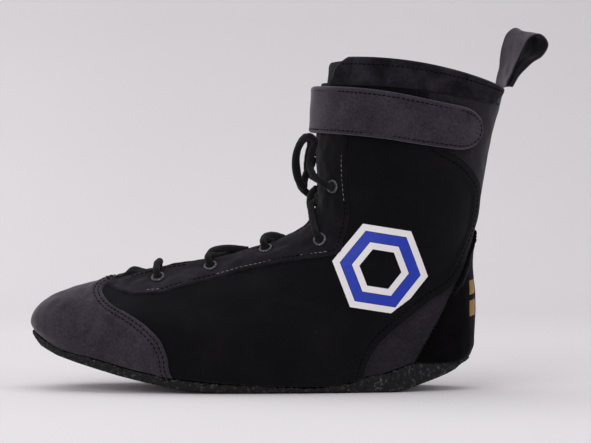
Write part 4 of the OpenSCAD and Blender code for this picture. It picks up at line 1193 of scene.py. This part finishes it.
def hex_ring(name, r_out, r_in):
    """A hexagonal ring printed on the outer side: rows between two hexagons, laid on the skin."""
    n, m = 30, 6
    corner = np.radians(30 + BADGE_TURN + 60 * np.arange(7))
    k = np.arange(6 * n)
    s = ((k % n) / n)[:, None]
    corners = np.stack([np.cos(corner), np.sin(corner)], 1)
    ring = (1 - s) * corners[k // n] + s * corners[k // n + 1]
    r = np.linspace(r_out, r_in, m) / math.cos(math.radians(30))
    flat = r[:, None, None] * ring[None]
    target = np.stack([flat[..., 0] + BADGE_MID[0], 0 * flat[..., 0], flat[..., 1] + BADGE_MID[1]], -1)
    a, t = settle(target, -95.0, 0.5, (1, 0, 1))
    worn = 0.05 * waves(skin(a, t), 3, 121)
    top = place(a, t, BADGE_RISE + worn)
    rim = place(a, t, BADGE_RISE - 0.2 + worn)
    v = np.concatenate([top.reshape(-1, 3), rim.reshape(-1, 3)])
    size = m * 6 * n
    q = np.arange(size).reshape(m, 6 * n)
    nx = np.roll(q, -1, axis=1)
    up = np.stack([q[:-1], q[1:], nx[1:], nx[:-1]], -1).reshape(-1, 4)
    outer = np.stack([q[0], nx[0], nx[0] + size, q[0] + size], -1)
    inner = np.stack([q[-1], q[-1] + size, nx[-1] + size, nx[-1]], -1)
    faces = np.concatenate([up, up[:, ::-1] + size, outer, inner])
    c = v[faces[0]]
    flip = np.cross(c[1] - c[0], c[3] - c[0])[1] > 0
    return make_mesh(name, v, faces[:, ::-1] if flip else faces, sharp=60)


finish_piece(hex_ring("badge_white_outer", 26, 22), WHITE_FILM, "boot", "print_white", "badge_white")
finish_piece(hex_ring("badge_blue_band", 21.7, 15.7), BLUE_FILM, "boot", "print_blue", "badge_blue")
finish_piece(hex_ring("badge_white_inner", 15.4, 11.4), WHITE_FILM, "boot", "print_white")

for k, (low, high) in enumerate(((0.20, 0.28), (0.31, 0.39))):
    a, t = grid(low, high, 26, lambda t: -174 + 0 * t, lambda t: -165 + 0 * t, 14, 0.3)
    bar = shell(f"heel_bar_{k + 1}", a, t, lambda a, t, p: counter_out(a + 360, t, p) + 0.2,
                lambda a, t, p: counter_out(a + 360, t, p) - 0.1, counter_relief)
    finish_piece(bar, GOLD_PRINT, "boot", "print_gold", *(("heel_bars",) if k == 0 else ()))

# ---------------------------------------------------------------- loose threads on the pull loop
rng = np.random.default_rng(5)
threads = []
for x, z in ((135, 226), (148, 220)):
    root = LOOP_MID[np.argmin(np.hypot(LOOP_MID[:, 0] - x, LOOP_MID[:, 2] - z))] + [0, -3, 0]
    lean = rng.normal(size=3) * [1, 1, 0.4] + [0.2, 0, 1.2]
    bend = rng.normal(size=3)
    s = np.linspace(0, 1, 14)[:, None]
    path = root + s * lean / np.linalg.norm(lean) * rng.uniform(2.5, 4) + s ** 2 * bend * 0.8
    threads.append(tube(path, 0.16, 6))
loose = make_mesh("loose_threads", *join_tubes(threads)[:2], sharp=180)
finish_piece(loose, DARK_THREAD, "pull_loop", "loop_web")
